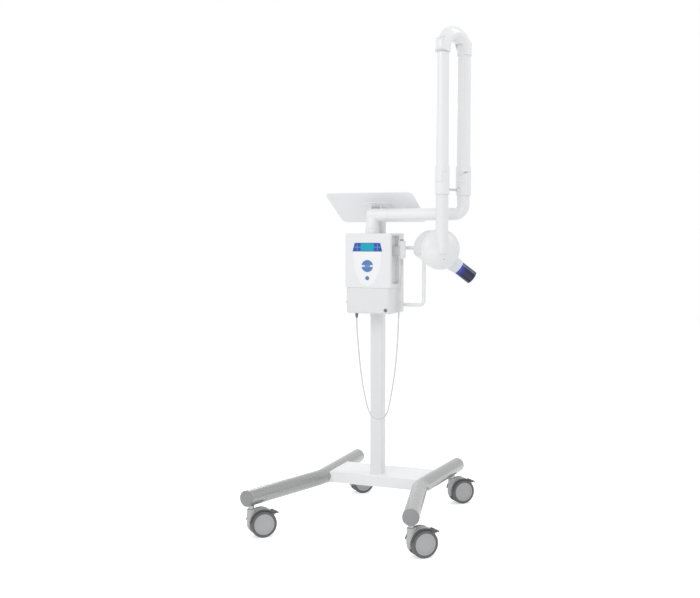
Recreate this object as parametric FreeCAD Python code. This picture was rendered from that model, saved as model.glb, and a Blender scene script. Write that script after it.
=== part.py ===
"""Mobile dental x-ray unit: a castored stand with a column, a control box, a folding arm and a tube head.

Units are millimetres, +Z is up, +X is the side that the arm is parked over and -Y is the front.
The unit is drawn about the axis of its column and then moved so that the origin lies under the middle of
everything, on the floor.  The arm is drawn folded and parked, the hand switch in its holder.
"""

import FreeCAD
import Part
import math
import os

from FreeCAD import Placement, Rotation, Vector

UP = Vector(0, 0, 1)
RIGHT = Vector(1, 0, 0)
BACK = Vector(0, 1, 0)

# Place of the column on the floor, measured from the middle of the whole unit
COLUMN_X = -32.5
COLUMN_Y = 80.0

# Clearances
SEAT_GAP = 0.3
RUNNING_FIT = 0.05
SWIVEL_GAP = 1.0
PANEL_SEAM = 0.6

# Legs: two bent steel tubes
LEG_DIAMETER = 60.0
LEG_WALL = 2.5
LEG_AXIS_Z = 150.0
LEG_FRONT_X = 320.6
LEG_FRONT_Y = -504.4
LEG_BEND_X = 209.5
LEG_BEND_Y = -88.5
LEG_REAR_X = 227.3
LEG_REAR_Y = 335.1
LEG_BEND_RADIUS = 200.0
CAP_FLANGE = 7.0
CAP_EDGE_RADIUS = 5.0
CAP_DOME = 4.0
CAP_SPIGOT = 11.0
CAP_SPIGOT_WALL = 3.0

# Base plate: a pan folded from sheet steel, open below
PLATE_TOP_ABOVE_AXIS = 18.0
PLATE_HEIGHT = 44.0
PLATE_WALL = 4.0
PLATE_FRONT_Y = -50.0
PLATE_REAR_Y = 145.0
PLATE_FRONT_GUSSET = 55.0
PLATE_REAR_GUSSET = 30.0
PLATE_EDGE_RADIUS = 3.5
PLATE_TAIL = 130.0

# Column: square steel tube
COLUMN_SIDE = 50.0
COLUMN_WALL = 3.0
COLUMN_CORNER = 7.0
COLUMN_TOP_Z = 1203.0
COLUMN_FOOT_SIDE = 110.0
COLUMN_FOOT_THICKNESS = 8.0

# Castors: twin wheels on a hooded housing
WHEEL_DIAMETER = 100.0
WHEEL_WIDTH = 17.0
WHEEL_TYRE_EDGE = 5.0
WHEEL_DISC_DIAMETER = 66.0
WHEEL_DISC_RECESS = 1.5
WHEEL_BORE = 10.1
WHEEL_FACE_WALL = 5.0
WHEEL_AXLE_END_GAP = 5.0
WHEEL_SIDE_GAP = 0.6
AXLE_DIAMETER = 10.0
CASTOR_WEB = 20.0
CASTOR_TRAIL = 42.0
CASTOR_TURN = 45.0
STEM_FROM_FRONT_END = 24.0
STEM_FROM_REAR_END = 60.0
STEM_DIAMETER = 11.0
STEM_LENGTH_IN_LEG = 34.0
STEM_LENGTH_IN_HOUSING = 30.0
STEM_COLLAR_DIAMETER = 22.0
SOCKET_DIAMETER = 22.0
SOCKET_LENGTH = 32.0
SOCKET_CLEARANCE = 0.1
SOCKET_END_WALL = 4.0
HOUSING_BOSS_DIAMETER = 32.0
HOUSING_TOP_Z = 108.0
HOUSING_BOSS_BOTTOM_Z = 44.0
HOUSING_BOSS_EDGE = 3.0
HOUSING_HUB_DIAMETER = 21.0
HOOD_INNER_RADIUS = 52.0
HOOD_THICKNESS = 3.5
HOOD_START = 52.0
HOOD_END = 168.0
WEB_START = 32.0
WEB_END = 198.0
WEB_FLOOR_CLEARANCE = 22.0
PEDAL_WIDTH = 30.0
PEDAL_PIVOT_ANGLE = 42.0
PEDAL_PIVOT_RADIUS = 59.5
PEDAL_PIN_DIAMETER = 5.0
PEDAL_BOSS_DIAMETER = 10.0
PEDAL_LENGTH = 19.0
PEDAL_DROOP = 26.0
PEDAL_THICKNESS = 5.0
PEDAL_EAR = 4.0
PEDAL_EAR_ROOT = 56.0
PEDAL_TIP_RADIUS = 10.5

# Tray: a sloping shelf for a laptop, high at the front
TRAY_WIDTH = 362.0
TRAY_DEPTH = 219.0
TRAY_THICKNESS = 3.0
TRAY_CORNER = 22.0
TRAY_TILT = 30.0
TRAY_CENTRE_X = -8.0
TRAY_LIP_HEIGHT = 18.0
TRAY_BRACKET_WIDTH = 120.0
TRAY_BRACKET_DEPTH = 90.0
TRAY_BRACKET_SHEET = 4.0
TRAY_BRACKET_CHEEK_SPACING = 42.0

# Control box
BOX_LEFT_X = -83.4
BOX_RIGHT_X = 107.0
BOX_FRONT_Y = -140.0
BOX_SPLIT_Y = -85.0
BOX_BOTTOM_Z = 818.0
BOX_BACK_Y = 5.0
BOX_SEAM_Z = 917.0
BOX_TOP_Z = 1126.0
BOX_WALL = 3.0
BOX_FRONT_EDGE = 8.0
BOX_LOWER_CORNER = 26.0
BOX_BACK_CORNER = 5.0
BOX_CROWN = 4.0
BOX_FLOOR_EDGE = 8.0
BAY_DEPTH = 14.0
BAY_FRONT_Y = -128.0
BAY_BACK_Y = -50.0
BAY_BOTTOM_Z = 932.0
BAY_TOP_Z = 1117.0
COLUMN_NOTCH_GAP = 0.5
NECK_HOLE_CLEARANCE = 0.5

# Control panel on the box's front
PANEL_X = 10.5
PANEL_PROUD = 0.8
PANEL_TOP_HALF = 60.5
PANEL_UPPER_Z = 1044.0
PANEL_UPPER_HALF = 58.0
PANEL_MID_Z = 987.0
PANEL_MID_HALF = 52.0
PANEL_LOW_Z = 936.0
PANEL_LOW_HALF = 29.0
PANEL_CORNER = 8.0
DISPLAY_TOP_Z = 1089.5
DISPLAY_BOTTOM_Z = 1057.0
DISPLAY_TOP_HALF = 52.0
DISPLAY_BOTTOM_HALF = 61.0
DISPLAY_DEPTH = 2.0
DISPLAY_REBATE = 3.0
KEY_CENTRE_Z = 1001.0
KEY_OUTER_HALF_WIDTH = 23.0
KEY_OUTER_HALF_HEIGHT = 22.5
KEY_SELECT_DIAMETER = 20.0
KEY_RING_GAP = 1.2
KEY_SPLIT_HALF = 3.8
KEY_LAMP_Z = 954.5
KEY_LAMP_DIAMETER = 15.0
KEY_PROUD = 1.6
KEY_DEPTH = 4.0
KEY_CLEARANCE = 0.4
KEY_TRAVEL = 0.8

# Inside the control box
BOARD_WIDTH = 150.0
BOARD_HEIGHT = 150.0
BOARD_THICKNESS = 1.6
BOARD_STANDOFF = 9.0
BOARD_BOSS_DIAMETER = 7.0
BOARD_CENTRE_Z = 1022.0
LCD_THICKNESS = 5.0
MODULE_WIDTH = 120.0
MODULE_HEIGHT = 96.0
MODULE_DEPTH = 44.0
MODULE_ABOVE_FLOOR = 6.0
MODULE_FINS = 9
MODULE_FIN_DEPTH = 17.6
INLET_WIDTH = 28.0
INLET_DEPTH = 20.0
INLET_WALL = 4.0
INLET_RIM = 6.0
MAINS_KEY_X = 98.0
MAINS_KEY_Z = 832.0
MAINS_KEY_DIAMETER = 13.0
MAINS_KEY_PROUD = 3.0
MAINS_KEY_DEPTH = 12.0
MAINS_KEY_EDGE = 1.0
MAINS_KEY_FROM_CORNER = 13.0
MAINS_KEY_TRAVEL = 2.0

# Pivot that carries the arm, bolted to the column through the back of the box
PIVOT_X = 9.0
PIVOT_Y = -85.0
PIVOT_SEAM_Z = 1146.0
PIVOT_COLLAR_DIAMETER = 54.0
PIVOT_PIN_DIAMETER = 30.0
PIVOT_PIN_LENGTH = 90.0
PIVOT_BUSH_BOTTOM_Z = 1040.0
PIVOT_PLATE_WIDTH = 70.0
PIVOT_PLATE_THICKNESS = 6.0
PIVOT_PLATE_BOTTOM_Z = 960.0
PIVOT_RIB_WIDTH = 12.0
PIVOT_RIB_FOOT = 20.0

# Hand switch, its holder and its cord
HANDSET_X = 127.8
HANDSET_Y = -75.0
HANDSET_BOTTOM_Z = 1032.0
HANDSET_HEIGHT = 66.0
HANDSET_SIDE = 26.0
HANDSET_CORNER = 7.0
HANDSET_END_EDGE = 2.3
HANDSET_BUTTON_DIAMETER = 14.0
HANDSET_BUTTON_PROUD = 5.0
HANDSET_BUTTON_DEPTH = 10.0
HANDSET_BUTTON_TRAVEL = 3.0
HANDSET_BUTTON_EDGE = 2.0
HANDSET_NIPPLE_DIAMETER = 10.0
HANDSET_NIPPLE_LENGTH = 8.0
HOLDER_WALL = 3.0
HOLDER_CLEARANCE = 0.4
HOLDER_BOTTOM_Z = 1042.0
HOLDER_HEIGHT = 34.0
HOLDER_REACH = 17.0
CORD_DIAMETER = 6.5
GLAND_X = -50.0
GLAND_Y = -100.0
GLAND_TOP_DIAMETER = 13.0
GLAND_TIP_DIAMETER = 9.0
GLAND_LENGTH = 20.0
CORD_ARC_SHARE = 0.45

# The cord's route below its gland, as points on the column's own axes
CORD_ROUTE = [
    (-50.0, -100.0, 765.0),
    (-46.0, -100.3, 722.0),
    (-41.8, -100.5, 674.0),
    (-36.6, -100.6, 624.0),
    (-30.0, -100.8, 572.0),
    (-21.5, -101.0, 521.0),
    (-10.5, -101.3, 475.0),
    (1.8, -101.5, 431.0),
    (17.5, -101.7, 412.5),
    (39.5, -101.9, 404.0),
    (62.0, -102.1, 409.5),
    (77.5, -102.0, 427.5),
    (83.9, -101.6, 450.0),
    (91.5, -100.7, 487.0),
    (100.0, -99.2, 534.0),
    (106.7, -97.0, 583.0),
    (111.7, -94.2, 633.0),
    (114.8, -91.0, 684.0),
    (116.7, -87.6, 736.0),
    (117.8, -84.2, 789.0),
    (118.7, -81.1, 842.0),
    (120.2, -78.5, 893.0),
    (123.3, -76.4, 942.0),
    (127.8, -75.0, 986.0),
]

# Push handle: a bent tube on the box's right side
HANDLE_DIAMETER = 14.5
HANDLE_Y = -30.0
HANDLE_BAR_X = 201.6
HANDLE_TOP_Z = 1070.0
HANDLE_BOTTOM_Z = 849.0
HANDLE_BEND = 20.0
HANDLE_COLLAR_DIAMETER = 22.0
HANDLE_COLLAR_LENGTH = 5.0

# Extension arm
EXTENSION_DIAMETER = 47.0
EXTENSION_WALL = 4.0
EXTENSION_AXIS_Z = 1198.0
EXTENSION_HEEL = 20.0
EXTENSION_HEEL_EDGE = 13.0
ELBOW_WAIST_DIAMETER = 40.0
EXTENSION_SEAM_X = 78.0
EXTENSION_RIGHT_BEND = 36.0
EXTENSION_SPIGOT = 24.0
SHOULDER_X = 374.0
SHOULDER_SEAM_Z = 1267.0
SHOULDER_PIN_DIAMETER = 26.0
SHOULDER_PIN_LENGTH = 18.0

# Folding arm: two sections of equal length, each on a pivot at both ends
FOLD_X = -48.0
FOLD_Y = -107.0
LOWER_PIVOT_Z = 1324.0
UPPER_PIVOT_Z = 1809.0
LOWER_ARM_DIAMETER = 50.0
OUTER_ARM_DIAMETER = 46.0
ARM_WALL = 2.5
SHOULDER_JOINT_RADIUS = 28.5
WRIST_JOINT_RADIUS = 26.5
KNUCKLE_RADIUS = 28.0
JOINT_SLEEVE = 48.0
JOINT_GAP = 0.5
JOINT_LIP = 11.0
TONGUE_WIDTH = 36.0
LOWER_TONGUE_FRONT = 20.0
OUTER_TONGUE_FRONT = 10.0
PIN_DIAMETER = 12.0
KNUCKLE_LEG = 13.0
TONGUE_STOCK = 12.0
BORE_END_WALL = 2.0
SPRING_OUTER_DIAMETER = 34.0
SPRING_WIRE = 4.0
SPRING_COILS = 22

# Transport link between the two folded sleeves
LINK_Z = 1286.0
LINK_WIDTH = 6.0
LINK_HEIGHT = 9.0
LINK_PIVOT_REACH = 8.0
LINK_PIN_DIAMETER = 3.0
LINK_EAR = 2.5
LINK_SIDE_GAP = 0.4
LINK_END_GAP = 1.0
LINK_CATCH_REACH = 9.0
LINK_CATCH_HEIGHT = 4.0
LINK_TIP_RADIUS = 2.7

# Tube head
HEAD_TURN = 38.0
HEAD_CENTRE_Z = 1067.0
DROP_TUBE_DIAMETER = 46.0
WRIST_SEAM_Z = 1268.0
WRIST_PIN_DIAMETER = 24.0
WRIST_PIN_LENGTH = 16.0
YOKE_DISC_RADIUS = 75.0
YOKE_DISC_FRONT = -8.0
YOKE_DISC_THICKNESS = 20.0
YOKE_DISC_EDGE = 6.0
YOKE_DOME_RADIUS = 67.0
YOKE_DOME_HEIGHT = 26.0
YOKE_AXLE_DIAMETER = 30.0
YOKE_AXLE_LENGTH = 24.0
HEAD_RADIUS = 72.0
HEAD_FLAT_HALF = 58.0
HEAD_FLAT_CORNER = 28.0
HEAD_DEPTH = 96.0
HEAD_WALL = 4.0
HEAD_REAR_EDGE = 16.0
HEAD_COVER_THICKNESS = 6.0
HEAD_COVER_HUB_DIAMETER = 44.0
HEAD_COVER_HUB_LENGTH = 18.0
TANK_RADIUS = 50.0
TANK_DEPTH = 50.0
BEAM_DROP = 36.0
NECK_ROOT_RADIUS = 33.0
NECK_TIP_RADIUS = 27.5
NECK_INNER_RADIUS = 22.0
NECK_INSET = 12.0
NECK_SPIGOT_WALL = 2.0
NECK_SPIGOT_REACH = 8.0
NECK_END = 116.0
CONE_RADIUS = 26.0
CONE_WALL = 2.5
CONE_LENGTH = 67.0
CONE_SPIGOT = 14.0

# Values that follow from the ones above
PLATE_TOP_Z = LEG_AXIS_Z + PLATE_TOP_ABOVE_AXIS
PLATE_BOTTOM_Z = PLATE_TOP_Z - PLATE_HEIGHT
LEG_RADIUS = LEG_DIAMETER / 2
WHEEL_RADIUS = WHEEL_DIAMETER / 2
COLUMN_FRONT_Y = -COLUMN_SIDE / 2
EXTENSION_AXIS_Y = PIVOT_Y
SHOULDER = Vector(SHOULDER_X, EXTENSION_AXIS_Y, 0)
FOLD = Vector(FOLD_X, FOLD_Y, 0)
FOLD_DIRECTION = Vector(FOLD).normalize()
WRIST = SHOULDER + FOLD
HEAD_FRONT = Vector(math.sin(math.radians(HEAD_TURN)), -math.cos(math.radians(HEAD_TURN)), 0)
HEAD_SIDE = Vector(math.cos(math.radians(HEAD_TURN)), math.sin(math.radians(HEAD_TURN)), 0)
HEAD_FACE = YOKE_DISC_FRONT - YOKE_DISC_THICKNESS - SWIVEL_GAP
BEAM = HEAD_SIDE * math.cos(math.radians(BEAM_DROP)) - UP * math.sin(math.radians(BEAM_DROP))


def save(name, shape):
    """Moves a finished piece from the column's axes to the unit's origin and writes it."""
    placed = shape.copy()
    placed.translate(Vector(COLUMN_X, COLUMN_Y, 0))
    placed.exportStep(os.path.join("parts", name + ".step"))


def box(low, high):
    """A block between two opposite corners."""
    return Part.makeBox(high.x - low.x, high.y - low.y, high.z - low.z, low)


def rod(radius, start, end):
    """A round bar from one point to another."""
    return Part.makeCylinder(radius, (end - start).Length, start, end - start)


def prism(points, direction):
    """A closed outline of points, pushed along a direction."""
    return Part.Face(Part.makePolygon(points + [points[0]])).extrude(direction)


def upright_edges(shape, test=None):
    """The straight vertical edges of a shape, or those of them that pass a test of their middle point."""
    found = []
    for edge in shape.Edges:
        box_of_edge = edge.BoundBox
        if box_of_edge.XLength < 1e-6 and box_of_edge.YLength < 1e-6:
            if test is None or test(box_of_edge.Center):
                found.append(edge)
    return found


def level_edges(shape, z):
    """The edges of a shape that lie wholly at one height."""
    return [e for e in shape.Edges if abs(e.BoundBox.ZMin - z) < 1e-4 and abs(e.BoundBox.ZMax - z) < 1e-4]


def edges_at_depth(shape, y):
    """The edges of a shape that lie wholly at one depth."""
    return [e for e in shape.Edges if abs(e.BoundBox.YMin - y) < 1e-4 and abs(e.BoundBox.YMax - y) < 1e-4]


def rounded_block(low, high, corner):
    """A block whose vertical edges are rounded."""
    block = box(low, high)
    return block.makeFillet(corner, upright_edges(block))


def bent_path(points, radii):
    """Straight runs joined by tangent arcs: one radius for each inner point."""
    edges = []
    start = points[0]
    for before, corner, after, radius in zip(points, points[1:], points[2:], radii):
        into = (corner - before).normalize()
        out = (after - corner).normalize()
        turn = into.getAngle(out)
        reach = radius * math.tan(turn / 2)
        arc_start = corner - into * reach
        arc_end = corner + out * reach
        middle = corner + (out - into).normalize() * (radius / math.cos(turn / 2) - radius)
        edges.append(Part.LineSegment(start, arc_start).toShape())
        edges.append(Part.Arc(arc_start, middle, arc_end).toShape())
        start = arc_end
    edges.append(Part.LineSegment(start, points[-1]).toShape())
    return Part.Wire(edges)


def bent_tube(path, radius):
    """A round bar that follows a path."""
    start = path.Edges[0].valueAt(path.Edges[0].FirstParameter)
    along = path.Edges[0].tangentAt(path.Edges[0].FirstParameter)
    section = Part.Wire(Part.makeCircle(radius, start, along))
    return path.makePipeShell([section], True, False)


def revolved(profile, axis_point, axis):
    """A closed outline of points turned once about an axis."""
    return Part.Face(Part.makePolygon(profile + [profile[0]])).revolve(axis_point, axis, 360)


def leg_points(side):
    """Front end, bend and rear end of one leg's centre line."""
    return [
        Vector(side * LEG_FRONT_X, LEG_FRONT_Y, LEG_AXIS_Z),
        Vector(side * LEG_BEND_X, LEG_BEND_Y, LEG_AXIS_Z),
        Vector(side * LEG_REAR_X, LEG_REAR_Y, LEG_AXIS_Z),
    ]


def leg_bar(side, radius):
    """A bar along the whole of one leg."""
    return bent_tube(bent_path(leg_points(side), [LEG_BEND_RADIUS]), radius)


def stem_places():
    """Castor name and the place of its stem on the floor plan."""
    places = {}
    for name, side in (("left", -1), ("right", 1)):
        front, bend, rear = leg_points(side)
        front_in = (bend - front).normalize()
        rear_in = (bend - rear).normalize()
        places["front_" + name] = front + front_in * STEM_FROM_FRONT_END
        places["rear_" + name] = rear + rear_in * STEM_FROM_REAR_END
    for point in places.values():
        point.z = 0
    return places


def leg(side, stems):
    """One leg: a bent tube with a drilled socket for each castor's stem welded in its lower wall."""
    tube = leg_bar(side, LEG_RADIUS).cut(leg_bar(side, LEG_RADIUS - LEG_WALL))
    bottom = LEG_AXIS_Z - LEG_RADIUS
    body = leg_bar(side, LEG_RADIUS - LEG_WALL / 2)
    for stem in stems:
        floor = stem + UP * bottom
        boss = rod(SOCKET_DIAMETER / 2, floor, floor + UP * (SOCKET_LENGTH + LEG_WALL))
        tube = tube.fuse(boss.common(body))
        hole = rod(STEM_DIAMETER / 2 + SOCKET_CLEARANCE, floor - UP, floor + UP * (2 * LEG_RADIUS - LEG_WALL - SOCKET_END_WALL))
        tube = tube.cut(hole)
    return tube.removeSplitter()


def leg_cap(end, inward):
    """A moulded plug: a domed flange as wide as the tube, and a hollow spigot inside it."""
    outer = LEG_RADIUS
    inner = LEG_RADIUS - LEG_WALL - SEAT_GAP
    flange = Part.makeCylinder(outer, CAP_FLANGE, Vector(0, 0, -CAP_FLANGE), UP)
    rim = [e for e in flange.Edges if abs(e.BoundBox.ZMax + CAP_FLANGE) < 1e-4]
    flange = flange.makeFillet(CAP_EDGE_RADIUS, rim)
    dome_reach = outer - CAP_EDGE_RADIUS
    dome_radius = (dome_reach ** 2 + CAP_DOME ** 2) / (2 * CAP_DOME)
    ball = Part.makeSphere(dome_radius, Vector(0, 0, dome_radius - CAP_FLANGE - CAP_DOME))
    slab = Part.makeCylinder(dome_reach, CAP_DOME + 1, Vector(0, 0, -CAP_FLANGE - CAP_DOME), UP)
    spigot = Part.makeCylinder(inner, CAP_SPIGOT, Vector(0, 0, 0), UP)
    hollow = Part.makeCylinder(inner - CAP_SPIGOT_WALL, CAP_SPIGOT, Vector(0, 0, 0), UP)
    cap = flange.fuse(ball.common(slab)).fuse(spigot.cut(hollow)).removeSplitter()
    cap.Placement = Placement(end, Rotation(UP, inward))
    return cap


def leg_caps():
    """The four plugs in the ends of the legs."""
    caps = []
    for side in (-1, 1):
        front, bend, rear = leg_points(side)
        for end in (front, rear):
            inward = (bend - end).normalize()
            caps.append(leg_cap(end - inward * SEAT_GAP, inward))
    return Part.makeCompound(caps)


def tail_point(start, corner, distance, side):
    """A point along a leg, moved towards the middle of the stand so far that it stays inside the tube."""
    along = (start - corner).normalize()
    inward = Vector(-side * abs(along.y), side * along.x * math.copysign(1, along.y), 0)
    return corner + along * distance + inward * tail_inset()


def tail_inset():
    """How far a plane inside the tube may lie from its axis and still be covered at the plate's height."""
    below = LEG_AXIS_Z - PLATE_BOTTOM_Z
    return math.sqrt(LEG_RADIUS ** 2 - max(below, PLATE_TOP_ABOVE_AXIS) ** 2) - 1.0


def inner_line_x(y):
    """Half width of the pan's outline at a given depth, just inside the tubes."""
    front, bend, rear = leg_points(1)
    far = front if y < bend.y else rear
    share = (y - bend.y) / (far.y - bend.y)
    along = far - bend
    slant = along.Length / abs(along.y)
    return bend.x + (far.x - bend.x) * share - tail_inset() * slant


def pan_outline(front_y, rear_y):
    """The pan's outline in plan, with a tail along each leg for the curved gussets to meet."""
    front_tail = front_y - PLATE_TAIL
    rear_tail = rear_y + PLATE_TAIL
    right = [
        Vector(inner_line_x(front_y), front_y, 0),
        Vector(inner_line_x(front_tail), front_tail, 0),
        Vector(inner_line_x(front_tail) + tail_inset(), front_tail, 0),
        Vector(LEG_BEND_X, LEG_BEND_Y, 0),
        Vector(inner_line_x(rear_tail) + tail_inset(), rear_tail, 0),
        Vector(inner_line_x(rear_tail), rear_tail, 0),
        Vector(inner_line_x(rear_y), rear_y, 0),
    ]
    left = [Vector(-p.x, p.y, 0) for p in reversed(right)]
    return right + left


def pan_block(inset, bottom, top, front_gusset, rear_gusset):
    """A block with the pan's outline moved in by an inset, its inner corners swept round to the legs."""
    front_y = PLATE_FRONT_Y + inset
    rear_y = PLATE_REAR_Y - inset
    outline = [p + UP * bottom for p in pan_outline(front_y, rear_y)]
    block = prism(outline, UP * (top - bottom))
    front_half = inner_line_x(front_y)
    rear_half = inner_line_x(rear_y)

    def is_front(p):
        return abs(p.y - front_y) < 0.01 and abs(abs(p.x) - front_half) < 0.01

    def is_rear(p):
        return abs(p.y - rear_y) < 0.01 and abs(abs(p.x) - rear_half) < 0.01

    block = block.makeFillet(front_gusset, upright_edges(block, is_front))
    return block.makeFillet(rear_gusset, upright_edges(block, is_rear))


def open_rim(block):
    """The upper edges of the pan that lie between the legs, where they can be seen."""
    found = []
    for edge in level_edges(block, PLATE_TOP_Z):
        ends = [v.Point for v in edge.Vertexes]
        if all(abs(p.x) < inner_line_x(p.y) + 0.01 for p in ends):
            found.append(edge)
    return found


def base_plate():
    """The centre pan: folded sheet, swept out to both legs and cut to sit against them."""
    outer = pan_block(0, PLATE_BOTTOM_Z, PLATE_TOP_Z, PLATE_FRONT_GUSSET, PLATE_REAR_GUSSET)
    outer = outer.makeFillet(PLATE_EDGE_RADIUS, open_rim(outer))
    hollow = pan_block(
        PLATE_WALL,
        PLATE_BOTTOM_Z - 1,
        PLATE_TOP_Z - PLATE_WALL,
        PLATE_FRONT_GUSSET + PLATE_WALL,
        PLATE_REAR_GUSSET + PLATE_WALL,
    )
    pan = outer.cut(hollow).fuse(column_doubler()).removeSplitter()
    for side in (-1, 1):
        pan = pan.cut(leg_bar(side, LEG_RADIUS + SEAT_GAP))
    solids = sorted(pan.Solids, key=lambda s: s.Volume)
    return solids[-1]


def column():
    """A square tube that stands on the pan over its doubler."""
    half = COLUMN_SIDE / 2
    inner = half - COLUMN_WALL
    tube = rounded_block(Vector(-half, -half, PLATE_TOP_Z), Vector(half, half, COLUMN_TOP_Z), COLUMN_CORNER)
    bore = rounded_block(
        Vector(-inner, -inner, PLATE_TOP_Z - 1),
        Vector(inner, inner, COLUMN_TOP_Z + 1),
        COLUMN_CORNER - COLUMN_WALL,
    )
    return tube.cut(bore)


def column_doubler():
    """The thick plate welded under the pan's skin where the column stands on it."""
    half = COLUMN_FOOT_SIDE / 2
    top = PLATE_TOP_Z - PLATE_WALL
    return rounded_block(
        Vector(-half, PLATE_FRONT_Y + 2 * PLATE_WALL, top - COLUMN_FOOT_THICKNESS),
        Vector(half, half, top),
        COLUMN_CORNER,
    )


def wheel(inner_face, outward):
    """One castor wheel: tread with rounded shoulders, a dished disc on its outer face, and a bore."""
    radius = WHEEL_RADIUS
    disc = WHEEL_DISC_DIAMETER / 2
    bore = WHEEL_BORE / 2
    tread = Part.makeCylinder(radius, WHEEL_WIDTH, Vector(0, 0, 0), UP)
    shoulders = [e for e in tread.Edges if e.BoundBox.ZLength < 1e-6]
    tread = tread.makeFillet(WHEEL_TYRE_EDGE, shoulders)
    recess = Part.makeCylinder(disc, WHEEL_DISC_RECESS, Vector(0, 0, WHEEL_WIDTH - WHEEL_DISC_RECESS), UP)
    hole = Part.makeCylinder(bore, WHEEL_WIDTH - WHEEL_FACE_WALL + 1, Vector(0, 0, -1), UP)
    body = tread.cut(recess).cut(hole)
    body.Placement = Placement(Vector(CASTOR_TRAIL, inner_face, WHEEL_RADIUS), Rotation(UP, BACK * outward))
    return body


def castor_housing():
    """The swivelling housing: a boss round the stem, a web between the wheels and a hood over them."""
    axle = Vector(CASTOR_TRAIL, 0, WHEEL_RADIUS)
    half_web = CASTOR_WEB / 2
    half_hood = half_web + WHEEL_SIDE_GAP + WHEEL_WIDTH
    outer = HOOD_INNER_RADIUS + HOOD_THICKNESS
    boss = rod(HOUSING_BOSS_DIAMETER / 2, UP * HOUSING_BOSS_BOTTOM_Z, UP * HOUSING_TOP_Z)
    lip = [e for e in boss.Edges if abs(e.BoundBox.ZMin - HOUSING_TOP_Z) < 1e-4]
    boss = boss.makeFillet(HOUSING_BOSS_EDGE, lip)
    for side in (-1, 1):
        keep_clear = rod(
            HOOD_INNER_RADIUS,
            axle + BACK * side * half_web,
            axle + BACK * side * (half_hood + outer),
        )
        boss = boss.cut(keep_clear)
    web = rod(outer, axle - BACK * half_web, axle + BACK * half_web)
    floor = box(Vector(-outer, -outer, -1), Vector(outer * 3, outer, WEB_FLOOR_CLEARANCE))
    hood = rod(outer, axle - BACK * half_hood, axle + BACK * half_hood)
    hood = hood.cut(rod(HOOD_INNER_RADIUS, axle - BACK * outer, axle + BACK * outer))
    hood = hood.common(sector(axle, HOOD_START, HOOD_END, outer * 2, half_hood))
    web = web.common(sector(axle, WEB_START, WEB_END, outer * 2, half_web)).cut(floor)
    hub = rod(HOUSING_HUB_DIAMETER / 2, axle - BACK * half_web, axle + BACK * half_web)
    half_shaft = half_hood - WHEEL_AXLE_END_GAP
    shaft = rod(AXLE_DIAMETER / 2, axle - BACK * half_shaft, axle + BACK * half_shaft)
    ears = pedal_ears(axle)
    housing = boss.fuse([web, hood, hub, shaft, ears])
    bore = rod(STEM_DIAMETER / 2 + RUNNING_FIT, UP * (HOUSING_TOP_Z - STEM_LENGTH_IN_HOUSING), UP * (HOUSING_TOP_Z + 1))
    return housing.cut(bore).cut(pedal_pocket(axle)).removeSplitter()


def sector(centre, start, end, reach, half_width):
    """A wedge about a castor's axle, between two angles measured up from straight behind it."""
    points = [centre]
    steps = 6
    for i in range(steps + 1):
        angle = math.radians(start + (end - start) * i / steps)
        points.append(centre + RIGHT * math.cos(angle) * reach + UP * math.sin(angle) * reach)
    return prism([p - BACK * half_width for p in points], BACK * 2 * half_width)


def pedal_pivot(axle):
    """The brake pedal's pivot, above and behind the axle."""
    angle = math.radians(PEDAL_PIVOT_ANGLE)
    return axle + RIGHT * math.cos(angle) * PEDAL_PIVOT_RADIUS + UP * math.sin(angle) * PEDAL_PIVOT_RADIUS


def pedal_ears(axle):
    """Two ears with a pin between them, at the hood's rear edge."""
    pivot = pedal_pivot(axle)
    inner = PEDAL_WIDTH / 2 + KEY_CLEARANCE
    ears = []
    angle = math.radians(PEDAL_EAR_ROOT)
    root = axle + (RIGHT * math.cos(angle) + UP * math.sin(angle)) * (HOOD_INNER_RADIUS + HOOD_THICKNESS / 2)
    for side in (-1, 1):
        near = BACK * side * inner
        far = BACK * side * (inner + PEDAL_EAR)
        ears.append(rod(PEDAL_BOSS_DIAMETER / 2, pivot + near, pivot + far))
        across = (pivot - root).normalize()
        normal = Vector(-across.z, 0, across.x) * (HOOD_THICKNESS / 2)
        strap = [root + normal, pivot + normal, pivot - normal, root - normal]
        ears.append(prism([p + near for p in strap], far - near))
    pin = rod(PEDAL_PIN_DIAMETER / 2, pivot - BACK * (inner + 1), pivot + BACK * (inner + 1))
    return ears[0].fuse(ears[1:] + [pin])


def pedal_pocket(axle):
    """Room for the pedal's boss at the hood's edge."""
    pivot = pedal_pivot(axle)
    half = PEDAL_WIDTH / 2 + KEY_CLEARANCE
    round_room = rod(PEDAL_BOSS_DIAMETER / 2 + JOINT_GAP, pivot - BACK * half, pivot + BACK * half)
    return round_room.cut(rod(PEDAL_PIN_DIAMETER / 2, pivot - BACK * half, pivot + BACK * half))


def castor_pedal():
    """The brake pedal: a boss on the pin and a rounded tread plate that droops to the rear."""
    axle = Vector(CASTOR_TRAIL, 0, WHEEL_RADIUS)
    pivot = pedal_pivot(axle)
    half = PEDAL_WIDTH / 2
    boss = rod(PEDAL_BOSS_DIAMETER / 2, pivot - BACK * half, pivot + BACK * half)
    droop = math.radians(PEDAL_DROOP)
    along = RIGHT * math.cos(droop) - UP * math.sin(droop)
    normal = RIGHT * math.sin(droop) + UP * math.cos(droop)
    plate = Part.makeBox(PEDAL_LENGTH, PEDAL_WIDTH, PEDAL_THICKNESS)
    tip = [e for e in plate.Edges if e.BoundBox.ZLength > 1 and e.BoundBox.XMin > PEDAL_LENGTH - 1]
    plate = plate.makeFillet(PEDAL_TIP_RADIUS, tip)
    plate.Placement = Placement(
        FreeCAD.Matrix(
            along.x, 0, normal.x, pivot.x,
            0, 1, 0, -half,
            along.z, 0, normal.z, pivot.z,
            0, 0, 0, 1,
        )
    )
    hole = rod(PEDAL_PIN_DIAMETER / 2 + RUNNING_FIT, pivot - BACK * half, pivot + BACK * half)
    return boss.fuse(plate).removeSplitter().cut(hole)


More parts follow.
